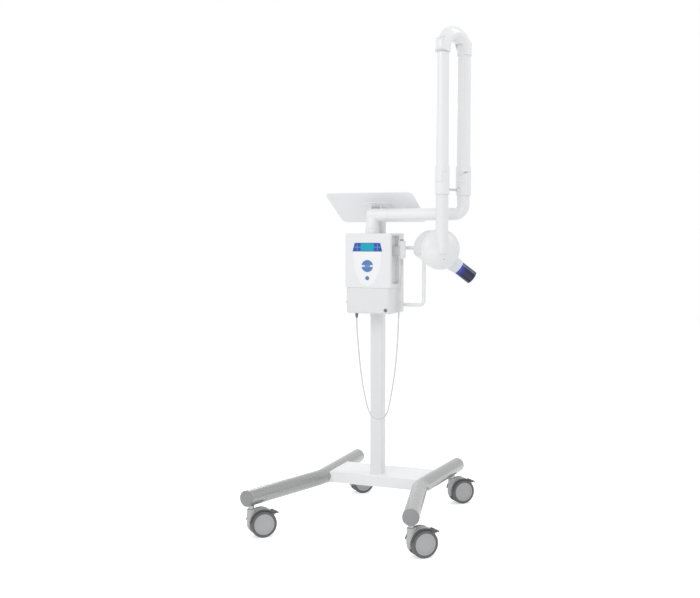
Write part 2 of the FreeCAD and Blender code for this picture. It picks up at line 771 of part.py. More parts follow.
def castor_stem():
    """The stem: a pin in the leg's socket and the housing's bore, with a collar between them."""
    leg_bottom = LEG_AXIS_Z - LEG_RADIUS
    pin = rod(
        STEM_DIAMETER / 2,
        UP * (HOUSING_TOP_Z - STEM_LENGTH_IN_HOUSING + SWIVEL_GAP),
        UP * (leg_bottom + STEM_LENGTH_IN_LEG),
    )
    collar = rod(STEM_COLLAR_DIAMETER / 2, UP * (HOUSING_TOP_Z + SEAT_GAP), UP * (leg_bottom - SEAT_GAP))
    return pin.fuse(collar).removeSplitter()


def build_castors():
    """Four castors, all trailing the same way."""
    stems = []
    turn = Rotation(UP, CASTOR_TURN)
    inner_face = CASTOR_WEB / 2 + WHEEL_SIDE_GAP
    for name, place in stem_places().items():
        placement = Placement(place, turn)
        pieces = {
            "castor_" + name + "_housing": castor_housing(),
            "castor_" + name + "_wheel_outer": wheel(-inner_face, -1),
            "castor_" + name + "_wheel_inner": wheel(inner_face, 1),
            "castor_" + name + "_pedal": castor_pedal(),
        }
        for piece_name, piece in pieces.items():
            piece.Placement = placement.multiply(piece.Placement)
            save(piece_name, piece)
        stem = castor_stem()
        stem.Placement = placement.multiply(stem.Placement)
        stems.append(stem)
    save("castor_stems", Part.makeCompound(stems))


def tray_placement():
    """Puts a shape drawn level, with its centre at the origin, on the tray's slope."""
    half = TRAY_BRACKET_SHEET / math.cos(math.radians(TRAY_TILT))
    rise = COLUMN_SIDE / 2 * math.tan(math.radians(TRAY_TILT))
    height = COLUMN_TOP_Z + TRAY_BRACKET_SHEET + rise + half + SEAT_GAP
    return Placement(Vector(0, 0, height), Rotation(RIGHT, -TRAY_TILT))


def tray():
    """A flat sheet with rounded corners and a folded lip along its low rear edge."""
    half_w = TRAY_WIDTH / 2
    half_d = TRAY_DEPTH / 2
    sheet = rounded_block(Vector(-half_w, -half_d, 0), Vector(half_w, half_d, TRAY_THICKNESS), TRAY_CORNER)
    lip = box(
        Vector(-half_w + TRAY_CORNER, half_d - TRAY_THICKNESS, 0),
        Vector(half_w - TRAY_CORNER, half_d, TRAY_LIP_HEIGHT),
    )
    ends = [e for e in lip.Edges if e.BoundBox.YLength > 1 and e.BoundBox.ZMin > TRAY_THICKNESS]
    lip = lip.makeFillet(TRAY_LIP_HEIGHT / 2, ends)
    shelf = sheet.fuse(lip).removeSplitter()
    shelf.translate(Vector(TRAY_CENTRE_X, 0, 0))
    shelf.Placement = tray_placement().multiply(shelf.Placement)
    return shelf


def tray_bracket():
    """A folded bracket: a cap on the column, two cheeks, and a sloping plate under the tray."""
    sheet = TRAY_BRACKET_SHEET
    half_w = TRAY_BRACKET_WIDTH / 2
    half_d = TRAY_BRACKET_DEPTH / 2
    seat = rounded_block(Vector(-half_w, -half_d, -sheet), Vector(half_w, half_d, 0), COLUMN_CORNER)
    seat.translate(Vector(0, 0, -SEAT_GAP))
    placement = tray_placement()
    seat.Placement = placement.multiply(seat.Placement)
    half = COLUMN_SIDE / 2
    cap = box(Vector(-half, -half, COLUMN_TOP_Z), Vector(half, half, COLUMN_TOP_Z + sheet))
    slope = math.tan(math.radians(TRAY_TILT))
    under = placement.Base.z - sheet / math.cos(math.radians(TRAY_TILT))
    cheeks = []
    for side in (-1, 1):
        x = side * TRAY_BRACKET_CHEEK_SPACING / 2 - sheet / 2
        outline = [
            Vector(x, -half, COLUMN_TOP_Z),
            Vector(x, half, COLUMN_TOP_Z),
            Vector(x, half, under - half * slope),
            Vector(x, -half, under + half * slope),
        ]
        cheeks.append(prism(outline, RIGHT * sheet))
    return cap.fuse([seat] + cheeks).removeSplitter()


def bay(grow):
    """The bay in the box's right side that the hand switch's holder stands in, widened by a wall."""
    return box(
        Vector(BOX_RIGHT_X - BAY_DEPTH - grow, BAY_FRONT_Y - grow, BAY_BOTTOM_Z - grow),
        Vector(BOX_RIGHT_X + 1, BAY_BACK_Y + grow, BAY_TOP_Z + grow),
    )


def floor_edges(shape, open_y):
    """The bottom edges of one of the box's tubs, but for the one on its open side."""
    floor = min(e.BoundBox.ZMin for e in shape.Edges)
    return [e for e in level_edges(shape, floor) if abs(e.BoundBox.Center.y - open_y) > 1e-3]


def ceiling_edges(shape, open_y):
    """The top edges of one of the box's tubs, but for the one on its open side."""
    ceiling = max(e.BoundBox.ZMax for e in shape.Edges)
    return [e for e in level_edges(shape, ceiling) if abs(e.BoundBox.Center.y - open_y) > 1e-3]


def cover(bottom_z, top_z, corner):
    """A front cover of the control box, as an outer and an inner block that open to the rear."""
    low = Vector(BOX_LEFT_X, BOX_FRONT_Y, bottom_z)
    high = Vector(BOX_RIGHT_X, BOX_SPLIT_Y, top_z)
    wall = BOX_WALL
    outer = box(low, high)
    outer = outer.makeFillet(corner, upright_edges(outer, lambda p: p.y < low.y + 0.01))
    inner = box(low + Vector(wall, wall, wall), Vector(high.x - wall, high.y, high.z - wall))
    inner = inner.makeFillet(corner - wall, upright_edges(inner, lambda p: p.y < low.y + wall + 0.01))
    return outer, inner


def neck_hole():
    """The round hole that the arm's pivot passes through in the top of the box."""
    centre = Vector(PIVOT_X, PIVOT_Y, BOX_TOP_Z)
    radius = PIVOT_COLLAR_DIAMETER / 2 + NECK_HOLE_CLEARANCE
    return rod(radius, centre - UP * 2 * BOX_WALL, centre + UP * BOX_WALL)


def panel_points():
    """The shield outline of the keypad on the front of the box, at its face."""
    rows = [
        (PANEL_TOP_HALF, DISPLAY_BOTTOM_Z - PANEL_SEAM),
        (PANEL_UPPER_HALF, PANEL_UPPER_Z),
        (PANEL_MID_HALF, PANEL_MID_Z),
        (PANEL_LOW_HALF, PANEL_LOW_Z),
    ]
    right = [Vector(PANEL_X + half, BOX_FRONT_Y, z) for half, z in rows]
    left = [Vector(PANEL_X - half, BOX_FRONT_Y, z) for half, z in reversed(rows)]
    bottom = [Vector(PANEL_X, BOX_FRONT_Y, PANEL_LOW_Z - PANEL_CORNER * 2)]
    return right + bottom + left


def display_outline(grow):
    """The display window's outline, widened all round by a clearance."""
    return [
        Vector(PANEL_X - DISPLAY_TOP_HALF - grow, BOX_FRONT_Y, DISPLAY_TOP_Z + grow),
        Vector(PANEL_X + DISPLAY_TOP_HALF + grow, BOX_FRONT_Y, DISPLAY_TOP_Z + grow),
        Vector(PANEL_X + DISPLAY_BOTTOM_HALF + grow, BOX_FRONT_Y, DISPLAY_BOTTOM_Z - grow),
        Vector(PANEL_X - DISPLAY_BOTTOM_HALF - grow, BOX_FRONT_Y, DISPLAY_BOTTOM_Z - grow),
    ]


def key_shapes(grow, front, depth):
    """The four keys of the pad, or the holes they work in when grown by a clearance."""
    start = Vector(PANEL_X, front, KEY_CENTRE_Z)
    half_w = KEY_OUTER_HALF_WIDTH + grow
    half_h = KEY_OUTER_HALF_HEIGHT + grow
    oval = Part.Ellipse(start + RIGHT * half_w, start + UP * half_h, start)
    pad = Part.Face(Part.Wire(oval.toShape())).extrude(BACK * depth)
    ring = rod(KEY_SELECT_DIAMETER / 2 + KEY_RING_GAP - grow, start - BACK, start + BACK * (depth + 1))
    split = KEY_SPLIT_HALF - grow
    band = box(
        Vector(PANEL_X - half_w - 1, front - 1, KEY_CENTRE_Z - split),
        Vector(PANEL_X + half_w + 1, front + depth + 1, KEY_CENTRE_Z + split),
    )
    halves = pad.cut(ring).cut(band).Solids
    halves = sorted(halves, key=lambda s: s.CenterOfMass.z)
    lamp = Vector(PANEL_X, front, KEY_LAMP_Z)
    return {
        "key_up": halves[-1],
        "key_down": halves[0],
        "key_select": rod(KEY_SELECT_DIAMETER / 2 + grow, start, start + BACK * depth),
        "key_lamp": rod(KEY_LAMP_DIAMETER / 2 + grow, lamp, lamp + BACK * depth),
    }


def box_front():
    """The upper front cover with its window, key holes, and bosses for the control board."""
    outer, inner = cover(BOX_SEAM_Z + PANEL_SEAM / 2, BOX_TOP_Z, BOX_FRONT_EDGE)
    outer = outer.makeFillet(BOX_CROWN, ceiling_edges(outer, BOX_SPLIT_Y))
    shell = outer.cut(inner).fuse(bay(BOX_WALL).common(inner)).cut(bay(0))
    window = prism(display_outline(SEAT_GAP), BACK * DISPLAY_DEPTH)
    view = prism(display_outline(-DISPLAY_REBATE), BACK * (BOX_WALL + 1))
    shell = shell.cut(neck_hole()).cut(window).cut(view)
    for hole in key_shapes(KEY_CLEARANCE, BOX_FRONT_Y - 1, BOX_WALL + 2).values():
        shell = shell.cut(hole)
    inside = BOX_FRONT_Y + BOX_WALL
    bosses = []
    for point in board_fixings():
        start = Vector(point.x, inside - 0.5, point.z)
        bosses.append(rod(BOARD_BOSS_DIAMETER / 2, start, Vector(point.x, board_front_y(), point.z)))
    return shell.fuse(bosses).removeSplitter()


def board_front_y():
    """The front face of the control board, which rests on the cover's bosses."""
    return BOX_FRONT_Y + BOX_WALL + BOARD_STANDOFF


def board_fixings():
    """The four corners where the control board is screwed to the cover's bosses."""
    half_w = BOARD_WIDTH / 2 - BOARD_BOSS_DIAMETER
    half_h = BOARD_HEIGHT / 2 - BOARD_BOSS_DIAMETER
    return [
        Vector(PANEL_X + sx * half_w, 0, BOARD_CENTRE_Z + sz * half_h)
        for sx in (-1, 1)
        for sz in (-1, 1)
    ]


def box_lower():
    """The lower front cover with its well rounded front corners and the hole for the mains key."""
    outer, inner = cover(BOX_BOTTOM_Z, BOX_SEAM_Z - PANEL_SEAM / 2, BOX_LOWER_CORNER)
    outer = outer.makeFillet(BOX_FLOOR_EDGE, floor_edges(outer, BOX_SPLIT_Y))
    inner = inner.makeFillet(BOX_FLOOR_EDGE - BOX_WALL, floor_edges(inner, BOX_SPLIT_Y))
    shell = outer.cut(inner)
    gland = Vector(GLAND_X, GLAND_Y, BOX_BOTTOM_Z)
    shell = shell.cut(rod(GLAND_TIP_DIAMETER / 2, gland - UP, gland + UP * (BOX_WALL + 1)))
    return shell.cut(mains_key_rod(KEY_CLEARANCE, BOX_FRONT_Y - MAINS_KEY_PROUD - 1, MAINS_KEY_DEPTH * 2))


def mains_key_rod(grow, front, depth):
    """A round bar at the mains key's place."""
    start = Vector(MAINS_KEY_X - MAINS_KEY_FROM_CORNER, front, MAINS_KEY_Z)
    return rod(MAINS_KEY_DIAMETER / 2 + grow, start, start + BACK * depth)


def column_notch(grow):
    """The notch in the rear tub that the column stands in, widened by a wall."""
    half = COLUMN_SIDE / 2 + COLUMN_NOTCH_GAP + grow
    return box(
        Vector(-half, COLUMN_FRONT_Y - grow, BOX_BOTTOM_Z - 1),
        Vector(half, BOX_BACK_Y + 1, BOX_TOP_Z + 1),
    )


def box_back():
    """The rear tub of the control box: notched for the column and screwed through it to the arm's bracket."""
    low = Vector(BOX_LEFT_X, BOX_SPLIT_Y + PANEL_SEAM, BOX_BOTTOM_Z)
    high = Vector(BOX_RIGHT_X, BOX_BACK_Y, BOX_TOP_Z)
    wall = BOX_WALL
    outer = box(low, high)
    outer = outer.makeFillet(BOX_BACK_CORNER, upright_edges(outer, lambda p: p.y > BOX_BACK_Y - 0.01))
    outer = outer.makeFillet(BOX_CROWN, ceiling_edges(outer, low.y))
    outer = outer.makeFillet(BOX_FLOOR_EDGE, floor_edges(outer, low.y))
    inner = box(Vector(low.x + wall, low.y, low.z + wall), Vector(high.x - wall, high.y - wall, high.z - wall))
    inner = inner.makeFillet(BOX_BACK_CORNER - wall, upright_edges(inner, lambda p: p.y > BOX_BACK_Y - wall - 0.01))
    inner = inner.makeFillet(BOX_FLOOR_EDGE - wall, floor_edges(inner, low.y))
    linings = [bay(wall).common(inner), column_notch(wall).common(inner)]
    shell = outer.cut(inner).fuse(linings)
    return shell.cut([bay(0), column_notch(0), neck_hole(), inlet_block(JOINT_GAP)]).removeSplitter()


def inlet_block(grow):
    """The mains inlet's body where it passes through the floor of the box."""
    x = module_centre_x()
    y = COLUMN_FRONT_Y - BOX_WALL - MODULE_DEPTH / 2
    half_w = INLET_WIDTH / 2 + grow
    half_d = INLET_DEPTH / 2 + grow
    return box(
        Vector(x - half_w, y - half_d, BOX_BOTTOM_Z - grow),
        Vector(x + half_w, y + half_d, BOX_BOTTOM_Z + BOX_WALL + MODULE_ABOVE_FLOOR),
    )


def module_centre_x():
    """The power module stands in the middle of the box."""
    return (BOX_LEFT_X + BOX_RIGHT_X) / 2


def power_module():
    """The inverter that feeds the head: a finned block on the rear wall, its mains inlet facing down."""
    x = module_centre_x()
    back = COLUMN_FRONT_Y - BOX_WALL - SEAT_GAP
    bottom = BOX_BOTTOM_Z + BOX_WALL + MODULE_ABOVE_FLOOR
    block = box(
        Vector(x - MODULE_WIDTH / 2, back - MODULE_DEPTH, bottom),
        Vector(x + MODULE_WIDTH / 2, back, bottom + MODULE_HEIGHT),
    )
    slots = []
    pitch = MODULE_WIDTH / MODULE_FINS
    for i in range(MODULE_FINS - 1):
        middle = x - MODULE_WIDTH / 2 + pitch * (i + 1)
        slots.append(
            box(
                Vector(middle - pitch / 4, back - MODULE_DEPTH - 1, bottom + pitch),
                Vector(middle + pitch / 4, back - MODULE_DEPTH + MODULE_FIN_DEPTH, bottom + MODULE_HEIGHT + 1),
            )
        )
    socket = inlet_block(0)
    throat = inlet_block(-INLET_WALL)
    throat.translate(UP * -INLET_RIM)
    return block.cut(Part.makeCompound(slots)).fuse(socket).cut(throat).removeSplitter()


def control_board():
    """The control board with the display module on its front."""
    front = board_front_y()
    board = box(
        Vector(PANEL_X - BOARD_WIDTH / 2, front, BOARD_CENTRE_Z - BOARD_HEIGHT / 2),
        Vector(PANEL_X + BOARD_WIDTH / 2, front + BOARD_THICKNESS, BOARD_CENTRE_Z + BOARD_HEIGHT / 2),
    )
    lcd = box(
        Vector(PANEL_X - DISPLAY_TOP_HALF, front - LCD_THICKNESS, DISPLAY_BOTTOM_Z),
        Vector(PANEL_X + DISPLAY_TOP_HALF, front, DISPLAY_TOP_Z),
    )
    return board.fuse(lcd).removeSplitter()


def keypad_panel():
    """The keypad: a thin moulded shield on the cover below the window, open for the keys."""
    outline = [p - BACK * PANEL_PROUD for p in panel_points()]
    sheet = prism(outline, BACK * (PANEL_PROUD - 0.01))
    corners = [e for e in sheet.Edges if e.BoundBox.XLength < 1e-6 and e.BoundBox.ZLength < 1e-6]
    sheet = sheet.makeFillet(PANEL_CORNER, corners)
    for hole in key_shapes(KEY_CLEARANCE, BOX_FRONT_Y - 2, 4).values():
        sheet = sheet.cut(hole)
    return sheet


def display_window():
    """The window pane, let into the front cover."""
    proud = PANEL_PROUD
    outline = [p - BACK * proud for p in display_outline(0)]
    return prism(outline, BACK * (DISPLAY_DEPTH + proud - SEAT_GAP))


def arm_bracket():
    """The steel bracket in the box: a plate on the column, two ribs and the bush that the arm turns in."""
    back = COLUMN_FRONT_Y - BOX_WALL - SEAT_GAP
    plate = box(
        Vector(PIVOT_X - PIVOT_PLATE_WIDTH / 2, back - PIVOT_PLATE_THICKNESS, PIVOT_PLATE_BOTTOM_Z),
        Vector(PIVOT_X + PIVOT_PLATE_WIDTH / 2, back, BOX_TOP_Z - BOX_WALL - SWIVEL_GAP),
    )
    centre = Vector(PIVOT_X, PIVOT_Y, 0)
    radius = PIVOT_COLLAR_DIAMETER / 2
    bush = rod(radius, centre + UP * PIVOT_BUSH_BOTTOM_Z, centre + UP * (PIVOT_SEAM_Z - SEAT_GAP))
    ribs = []
    for side in (-1, 1):
        x = PIVOT_X + side * (radius - PIVOT_RIB_WIDTH)
        outline = [
            Vector(x - PIVOT_RIB_WIDTH / 2, back - PIVOT_PLATE_THICKNESS, PIVOT_PLATE_BOTTOM_Z + PIVOT_RIB_FOOT),
            Vector(x - PIVOT_RIB_WIDTH / 2, back - PIVOT_PLATE_THICKNESS, BOX_TOP_Z - 2 * BOX_WALL),
            Vector(x - PIVOT_RIB_WIDTH / 2, PIVOT_Y, BOX_TOP_Z - 2 * BOX_WALL),
            Vector(x - PIVOT_RIB_WIDTH / 2, PIVOT_Y, PIVOT_BUSH_BOTTOM_Z),
        ]
        ribs.append(prism(outline, RIGHT * PIVOT_RIB_WIDTH))
    bore = rod(
        PIVOT_PIN_DIAMETER / 2 + RUNNING_FIT,
        centre + UP * (PIVOT_SEAM_Z - PIVOT_PIN_LENGTH - SWIVEL_GAP),
        centre + UP * (PIVOT_SEAM_Z + 1),
    )
    return plate.fuse([bush] + ribs).cut(bore).removeSplitter()


def handset_holder():
    """A clip in the bay of the box: a block on its wall and two cheeks that hold the hand switch."""
    left = BOX_RIGHT_X - BAY_DEPTH
    half_in = HANDSET_SIDE / 2 + HOLDER_CLEARANCE
    half_out = half_in + HOLDER_WALL
    low = Vector(left, HANDSET_Y - half_out, HOLDER_BOTTOM_Z)
    high = Vector(BOX_RIGHT_X + HOLDER_REACH, HANDSET_Y + half_out, HOLDER_BOTTOM_Z + HOLDER_HEIGHT)
    clip = rounded_clip(low, high)
    room = rounded_block(
        Vector(HANDSET_X - half_in, HANDSET_Y - half_in, HOLDER_BOTTOM_Z - 1),
        Vector(HANDSET_X + half_in, HANDSET_Y + half_in, HOLDER_BOTTOM_Z + HOLDER_HEIGHT + 1),
        HANDSET_CORNER,
    )
    return clip.cut(room)


def rounded_clip(low, high):
    """The holder's outer block, its two far upright corners rounded."""
    block = box(low, high)
    return block.makeFillet(HOLDER_WALL, upright_edges(block, lambda p: p.x > high.x - 0.01))


def handset():
    """The hand switch: a rounded grip, with a nipple for its cord below and a well for its button above."""
    half = HANDSET_SIDE / 2
    low = Vector(HANDSET_X - half, HANDSET_Y - half, HANDSET_BOTTOM_Z)
    high = Vector(HANDSET_X + half, HANDSET_Y + half, HANDSET_BOTTOM_Z + HANDSET_HEIGHT)
    grip = rounded_block(low, high, HANDSET_CORNER)
    ends = level_edges(grip, low.z) + level_edges(grip, high.z)
    grip = grip.makeFillet(HANDSET_END_EDGE, ends)
    centre = Vector(HANDSET_X, HANDSET_Y, 0)
    nipple = rod(
        HANDSET_NIPPLE_DIAMETER / 2,
        centre + UP * (HANDSET_BOTTOM_Z - HANDSET_NIPPLE_LENGTH),
        centre + UP * (HANDSET_BOTTOM_Z + 1),
    )
    well = rod(
        HANDSET_BUTTON_DIAMETER / 2 + KEY_CLEARANCE,
        centre + UP * (high.z - HANDSET_BUTTON_DEPTH),
        centre + UP * (high.z + 1),
    )
    return grip.fuse(nipple).cut(well).removeSplitter()


def handset_button():
    """The exposure button in the top of the hand switch, above its spring's travel."""
    top = HANDSET_BOTTOM_Z + HANDSET_HEIGHT
    centre = Vector(HANDSET_X, HANDSET_Y, 0)
    bottom = top - HANDSET_BUTTON_DEPTH + HANDSET_BUTTON_TRAVEL + SEAT_GAP
    button = rod(HANDSET_BUTTON_DIAMETER / 2, centre + UP * bottom, centre + UP * (top + HANDSET_BUTTON_PROUD))
    return button.makeFillet(HANDSET_BUTTON_EDGE, level_edges(button, top + HANDSET_BUTTON_PROUD))


def cord_gland():
    """The tapered strain relief under the box, with a shank through the lower cover's floor."""
    top = Vector(GLAND_X, GLAND_Y, BOX_BOTTOM_Z - 0.01)
    cone = Part.makeCone(GLAND_TIP_DIAMETER / 2, GLAND_TOP_DIAMETER / 2, GLAND_LENGTH, top - UP * GLAND_LENGTH, UP)
    shank = rod(GLAND_TIP_DIAMETER / 2 - SEAT_GAP, top, top + UP * (BOX_WALL + 2))
    return cone.fuse(shank).removeSplitter()


def cord_points():
    """The cord's route from the gland's tip to the hand switch's nipple."""
    start = Vector(GLAND_X, GLAND_Y, BOX_BOTTOM_Z - GLAND_LENGTH - 0.01)
    end = Vector(HANDSET_X, HANDSET_Y, HANDSET_BOTTOM_Z - HANDSET_NIPPLE_LENGTH)
    return [start] + [Vector(*p) for p in CORD_ROUTE] + [end]


def cord_radii(points):
    """The largest arc that each turn of the route leaves room for."""
    radii = []
    for before, corner, after in zip(points, points[1:], points[2:]):
        turn = (corner - before).getAngle(after - corner)
        shorter = min((corner - before).Length, (after - corner).Length)
        radii.append(CORD_ARC_SHARE * shorter / math.tan(turn / 2))
    return radii


def cord():
    """The hand switch's cord, hanging in one loop."""
    points = cord_points()
    radii = cord_radii(points)
    path = bent_path(points, radii)
    tube = bent_tube(path, CORD_DIAMETER / 2)
    expected = math.pi * (CORD_DIAMETER / 2) ** 2 * path.Length
    print("cord arc radii", [round(r) for r in radii])
    print("cord length", round(path.Length, 1), "volume", round(tube.Volume), "expected", round(expected))
    return tube


def push_handle():
    """The handle: a tube bent to a D with a collar at each foot."""
    left = BOX_RIGHT_X
    points = [
        Vector(left, HANDLE_Y, HANDLE_TOP_Z),
        Vector(HANDLE_BAR_X, HANDLE_Y, HANDLE_TOP_Z),
        Vector(HANDLE_BAR_X, HANDLE_Y, HANDLE_BOTTOM_Z),
        Vector(left, HANDLE_Y, HANDLE_BOTTOM_Z),
    ]
    bar = bent_tube(bent_path(points, [HANDLE_BEND, HANDLE_BEND]), HANDLE_DIAMETER / 2)
    collars = []
    for z in (HANDLE_TOP_Z, HANDLE_BOTTOM_Z):
        foot = Vector(left, HANDLE_Y, z)
        collars.append(rod(HANDLE_COLLAR_DIAMETER / 2, foot, foot + RIGHT * HANDLE_COLLAR_LENGTH))
    return bar.fuse(collars).removeSplitter()


def mains_key():
    """The round mains key in the lower cover."""
    key = mains_key_rod(0, BOX_FRONT_Y - MAINS_KEY_PROUD, MAINS_KEY_DEPTH)
    return key.makeFillet(MAINS_KEY_EDGE, edges_at_depth(key, BOX_FRONT_Y - MAINS_KEY_PROUD))


def extension_elbow():
    """The elbow over the pivot: a tapered foot on a pin, under the squared heel of the extension's socket."""
    foot = Vector(PIVOT_X, PIVOT_Y, PIVOT_SEAM_Z + SEAT_GAP)
    corner = Vector(PIVOT_X, PIVOT_Y, EXTENSION_AXIS_Z)
    end = Vector(EXTENSION_SEAM_X, PIVOT_Y, EXTENSION_AXIS_Z)
    radius = EXTENSION_DIAMETER / 2
    heel = corner - RIGHT * EXTENSION_HEEL
    sleeve = rod(radius, heel, end)
    rim = [e for e in sleeve.Edges if abs(e.BoundBox.XMin - heel.x) < 1e-4 and abs(e.BoundBox.XMax - heel.x) < 1e-4]
    sleeve = sleeve.makeFillet(EXTENSION_HEEL_EDGE, rim)
    flare = Part.makeCone(PIVOT_COLLAR_DIAMETER / 2, ELBOW_WAIST_DIAMETER / 2, EXTENSION_AXIS_Z - foot.z, foot, UP)
    socket = rod(radius - EXTENSION_WALL, end - RIGHT * EXTENSION_SPIGOT, end + RIGHT)
    pin = rod(PIVOT_PIN_DIAMETER / 2, foot - UP * PIVOT_PIN_LENGTH, foot + UP)
    return sleeve.fuse([flare, pin]).cut(socket).removeSplitter()


def extension_arm():
    """The extension: a tube with a spigot in the elbow, turned up at its far end to the shoulder's pin."""
    start = Vector(EXTENSION_SEAM_X + PANEL_SEAM, PIVOT_Y, EXTENSION_AXIS_Z)
    corner = Vector(SHOULDER_X, PIVOT_Y, EXTENSION_AXIS_Z)
    end = Vector(SHOULDER_X, PIVOT_Y, SHOULDER_SEAM_Z - SEAT_GAP)
    radius = EXTENSION_DIAMETER / 2
    path = bent_path([start, corner, end], [EXTENSION_RIGHT_BEND])
    body = bent_tube(path, radius)
    bore = rod(radius - EXTENSION_WALL, start + RIGHT * EXTENSION_SPIGOT, corner - RIGHT * EXTENSION_RIGHT_BEND)
    spigot = rod(radius - EXTENSION_WALL - SEAT_GAP, start - RIGHT * (EXTENSION_SPIGOT - 1), start + RIGHT)
    pin = rod(SHOULDER_PIN_DIAMETER / 2, end - UP, end + UP * SHOULDER_PIN_LENGTH)
    return body.cut(bore).fuse([spigot, pin]).removeSplitter()


def joint_blank(radius, below, above):
    """The full sleeve of an arm joint: a round bar about the pivot, which lies at the origin."""
    return rod(radius, UP * -below, UP * above)


def across_bar(radius, half_width):
    """A round bar along a joint's pivot."""
    return rod(radius, BACK * -half_width, BACK * half_width)


def joint_fork(radius, below):
    """The carrying half of a joint: two cheeks and a pin above a solid root, opening towards +X."""
    wide = radius * 3
    half_tongue = TONGUE_WIDTH / 2
    fork = joint_blank(radius, below, radius)
    slot = box(Vector(-wide, -half_tongue, -JOINT_LIP), Vector(wide, half_tongue, wide))
    slot = slot.fuse(across_bar(radius + JOINT_GAP, half_tongue))
    corner = box(Vector(0, -wide, 0), Vector(wide, wide, wide)).cut(across_bar(radius, wide))
    pin = across_bar(PIN_DIAMETER / 2, half_tongue + 1)
    return fork.cut(slot).cut(corner).fuse(pin).removeSplitter()


def joint_tongue(radius, above, front):
    """The moving half of a joint: a round-ended tongue that fills the fork, and a full collar over it.

    On the side that it tilts to, the tongue's root reaches no further than the given front."""
    half = TONGUE_WIDTH / 2 - JOINT_GAP
    wide = radius * 3
    collar = rod(radius, UP * (radius + JOINT_GAP), UP * above)
    blank = joint_blank(radius, radius, radius + JOINT_GAP)
    slab = box(Vector(-wide, -half, 0), Vector(0, half, wide)).fuse(across_bar(radius, half))
    root = box(Vector(-1, -half, 0), Vector(front, half, radius + JOINT_GAP))
    slab = slab.fuse(root).common(blank)
    bore = across_bar(PIN_DIAMETER / 2 + RUNNING_FIT, half + 1)
    return collar.fuse(slab).cut(bore).removeSplitter()


def joint_placement(point, up, opening):
    """Turns a joint so that its arm points one way and its open side another."""
    across = up.cross(opening)
    matrix = FreeCAD.Matrix(
        opening.x, across.x, up.x, point.x,
        opening.y, across.y, up.y, point.y,
        opening.z, across.z, up.z, point.z,
        0, 0, 0, 1,
    )
    return Placement(matrix)


def placed(shape, placement):
    """A shape moved from its own axes to its place."""
    shape.Placement = placement.multiply(shape.Placement)
    return shape


def arm_section(foot, opening_low, opening_high, joint_radius, diameter, front):
    """One arm section: a tube between two tongues, the lower one on the sleeve joint."""
    low = foot + UP * LOWER_PIVOT_Z
    high = foot + UP * UPPER_PIVOT_Z
    lower = placed(joint_tongue(joint_radius, JOINT_SLEEVE, front), joint_placement(low, UP, opening_low))
    upper_length = KNUCKLE_RADIUS + JOINT_GAP + SEAT_GAP + TONGUE_STOCK
    upper = joint_tongue(KNUCKLE_RADIUS, KNUCKLE_RADIUS + JOINT_GAP + SEAT_GAP, front)
    upper = placed(upper, joint_placement(high, UP * -1, opening_high))
    tube_low = low + UP * (JOINT_SLEEVE - 1)
    tube_high = high - UP * (KNUCKLE_RADIUS + JOINT_GAP)
    tube = rod(diameter / 2, tube_low, tube_high)
    bore = rod(diameter / 2 - ARM_WALL, low + UP * (JOINT_SLEEVE + BORE_END_WALL), high - UP * upper_length)
    return tube.cut(bore).fuse([lower, upper]).removeSplitter()


def balance_spring(foot):
    """The spring inside an arm section: a stack of coils on a rod between its two end fittings."""
    upper_length = KNUCKLE_RADIUS + JOINT_GAP + SEAT_GAP + TONGUE_STOCK
    bottom = foot + UP * (LOWER_PIVOT_Z + JOINT_SLEEVE + BORE_END_WALL + SEAT_GAP)
    top = foot + UP * (UPPER_PIVOT_Z - upper_length - SEAT_GAP)
    core = rod(SPRING_OUTER_DIAMETER / 2 - SPRING_WIRE, bottom, top)
    coils = []
    pitch = (top - bottom).Length / (SPRING_COILS + 1)
    for i in range(SPRING_COILS):
        level = bottom + UP * pitch * (i + 1)
        coils.append(rod(SPRING_OUTER_DIAMETER / 2, level - UP * SPRING_WIRE / 2, level + UP * SPRING_WIRE / 2))
    return core.fuse(coils).removeSplitter()


def shoulder_fork():
    """The lower sleeve: it turns on the extension's pin and carries the lower arm's pivot."""
    pivot = SHOULDER + UP * LOWER_PIVOT_Z
    below = LOWER_PIVOT_Z - SHOULDER_SEAM_Z
    fork = placed(joint_fork(SHOULDER_JOINT_RADIUS, below), joint_placement(pivot, UP, FOLD_DIRECTION))
    seam = SHOULDER + UP * SHOULDER_SEAM_Z
    bore = rod(SHOULDER_PIN_DIAMETER / 2 + RUNNING_FIT, seam - UP, seam + UP * (SHOULDER_PIN_LENGTH + SWIVEL_GAP))
    ears = placed(link_ears(), joint_placement(SHOULDER + UP * LINK_Z, UP, FOLD_DIRECTION))
    return fork.cut(bore).fuse(ears).removeSplitter()


def wrist_fork():
    """The outer sleeve: it hangs on the outer arm's pivot and carries the head's drop tube and the link's catch."""
    pivot = WRIST + UP * LOWER_PIVOT_Z
    below = LOWER_PIVOT_Z - WRIST_SEAM_Z
    fork = placed(joint_fork(WRIST_JOINT_RADIUS, below), joint_placement(pivot, UP, FOLD_DIRECTION * -1))
    seam = WRIST + UP * WRIST_SEAM_Z
    bore = rod(WRIST_PIN_DIAMETER / 2 + RUNNING_FIT, seam - UP, seam + UP * (WRIST_PIN_LENGTH + SWIVEL_GAP))
    sleeve = fork.cut(bore).removeSplitter().cut(link_catch(SEAT_GAP))
    return Part.makeCompound([sleeve, link_catch(0)])


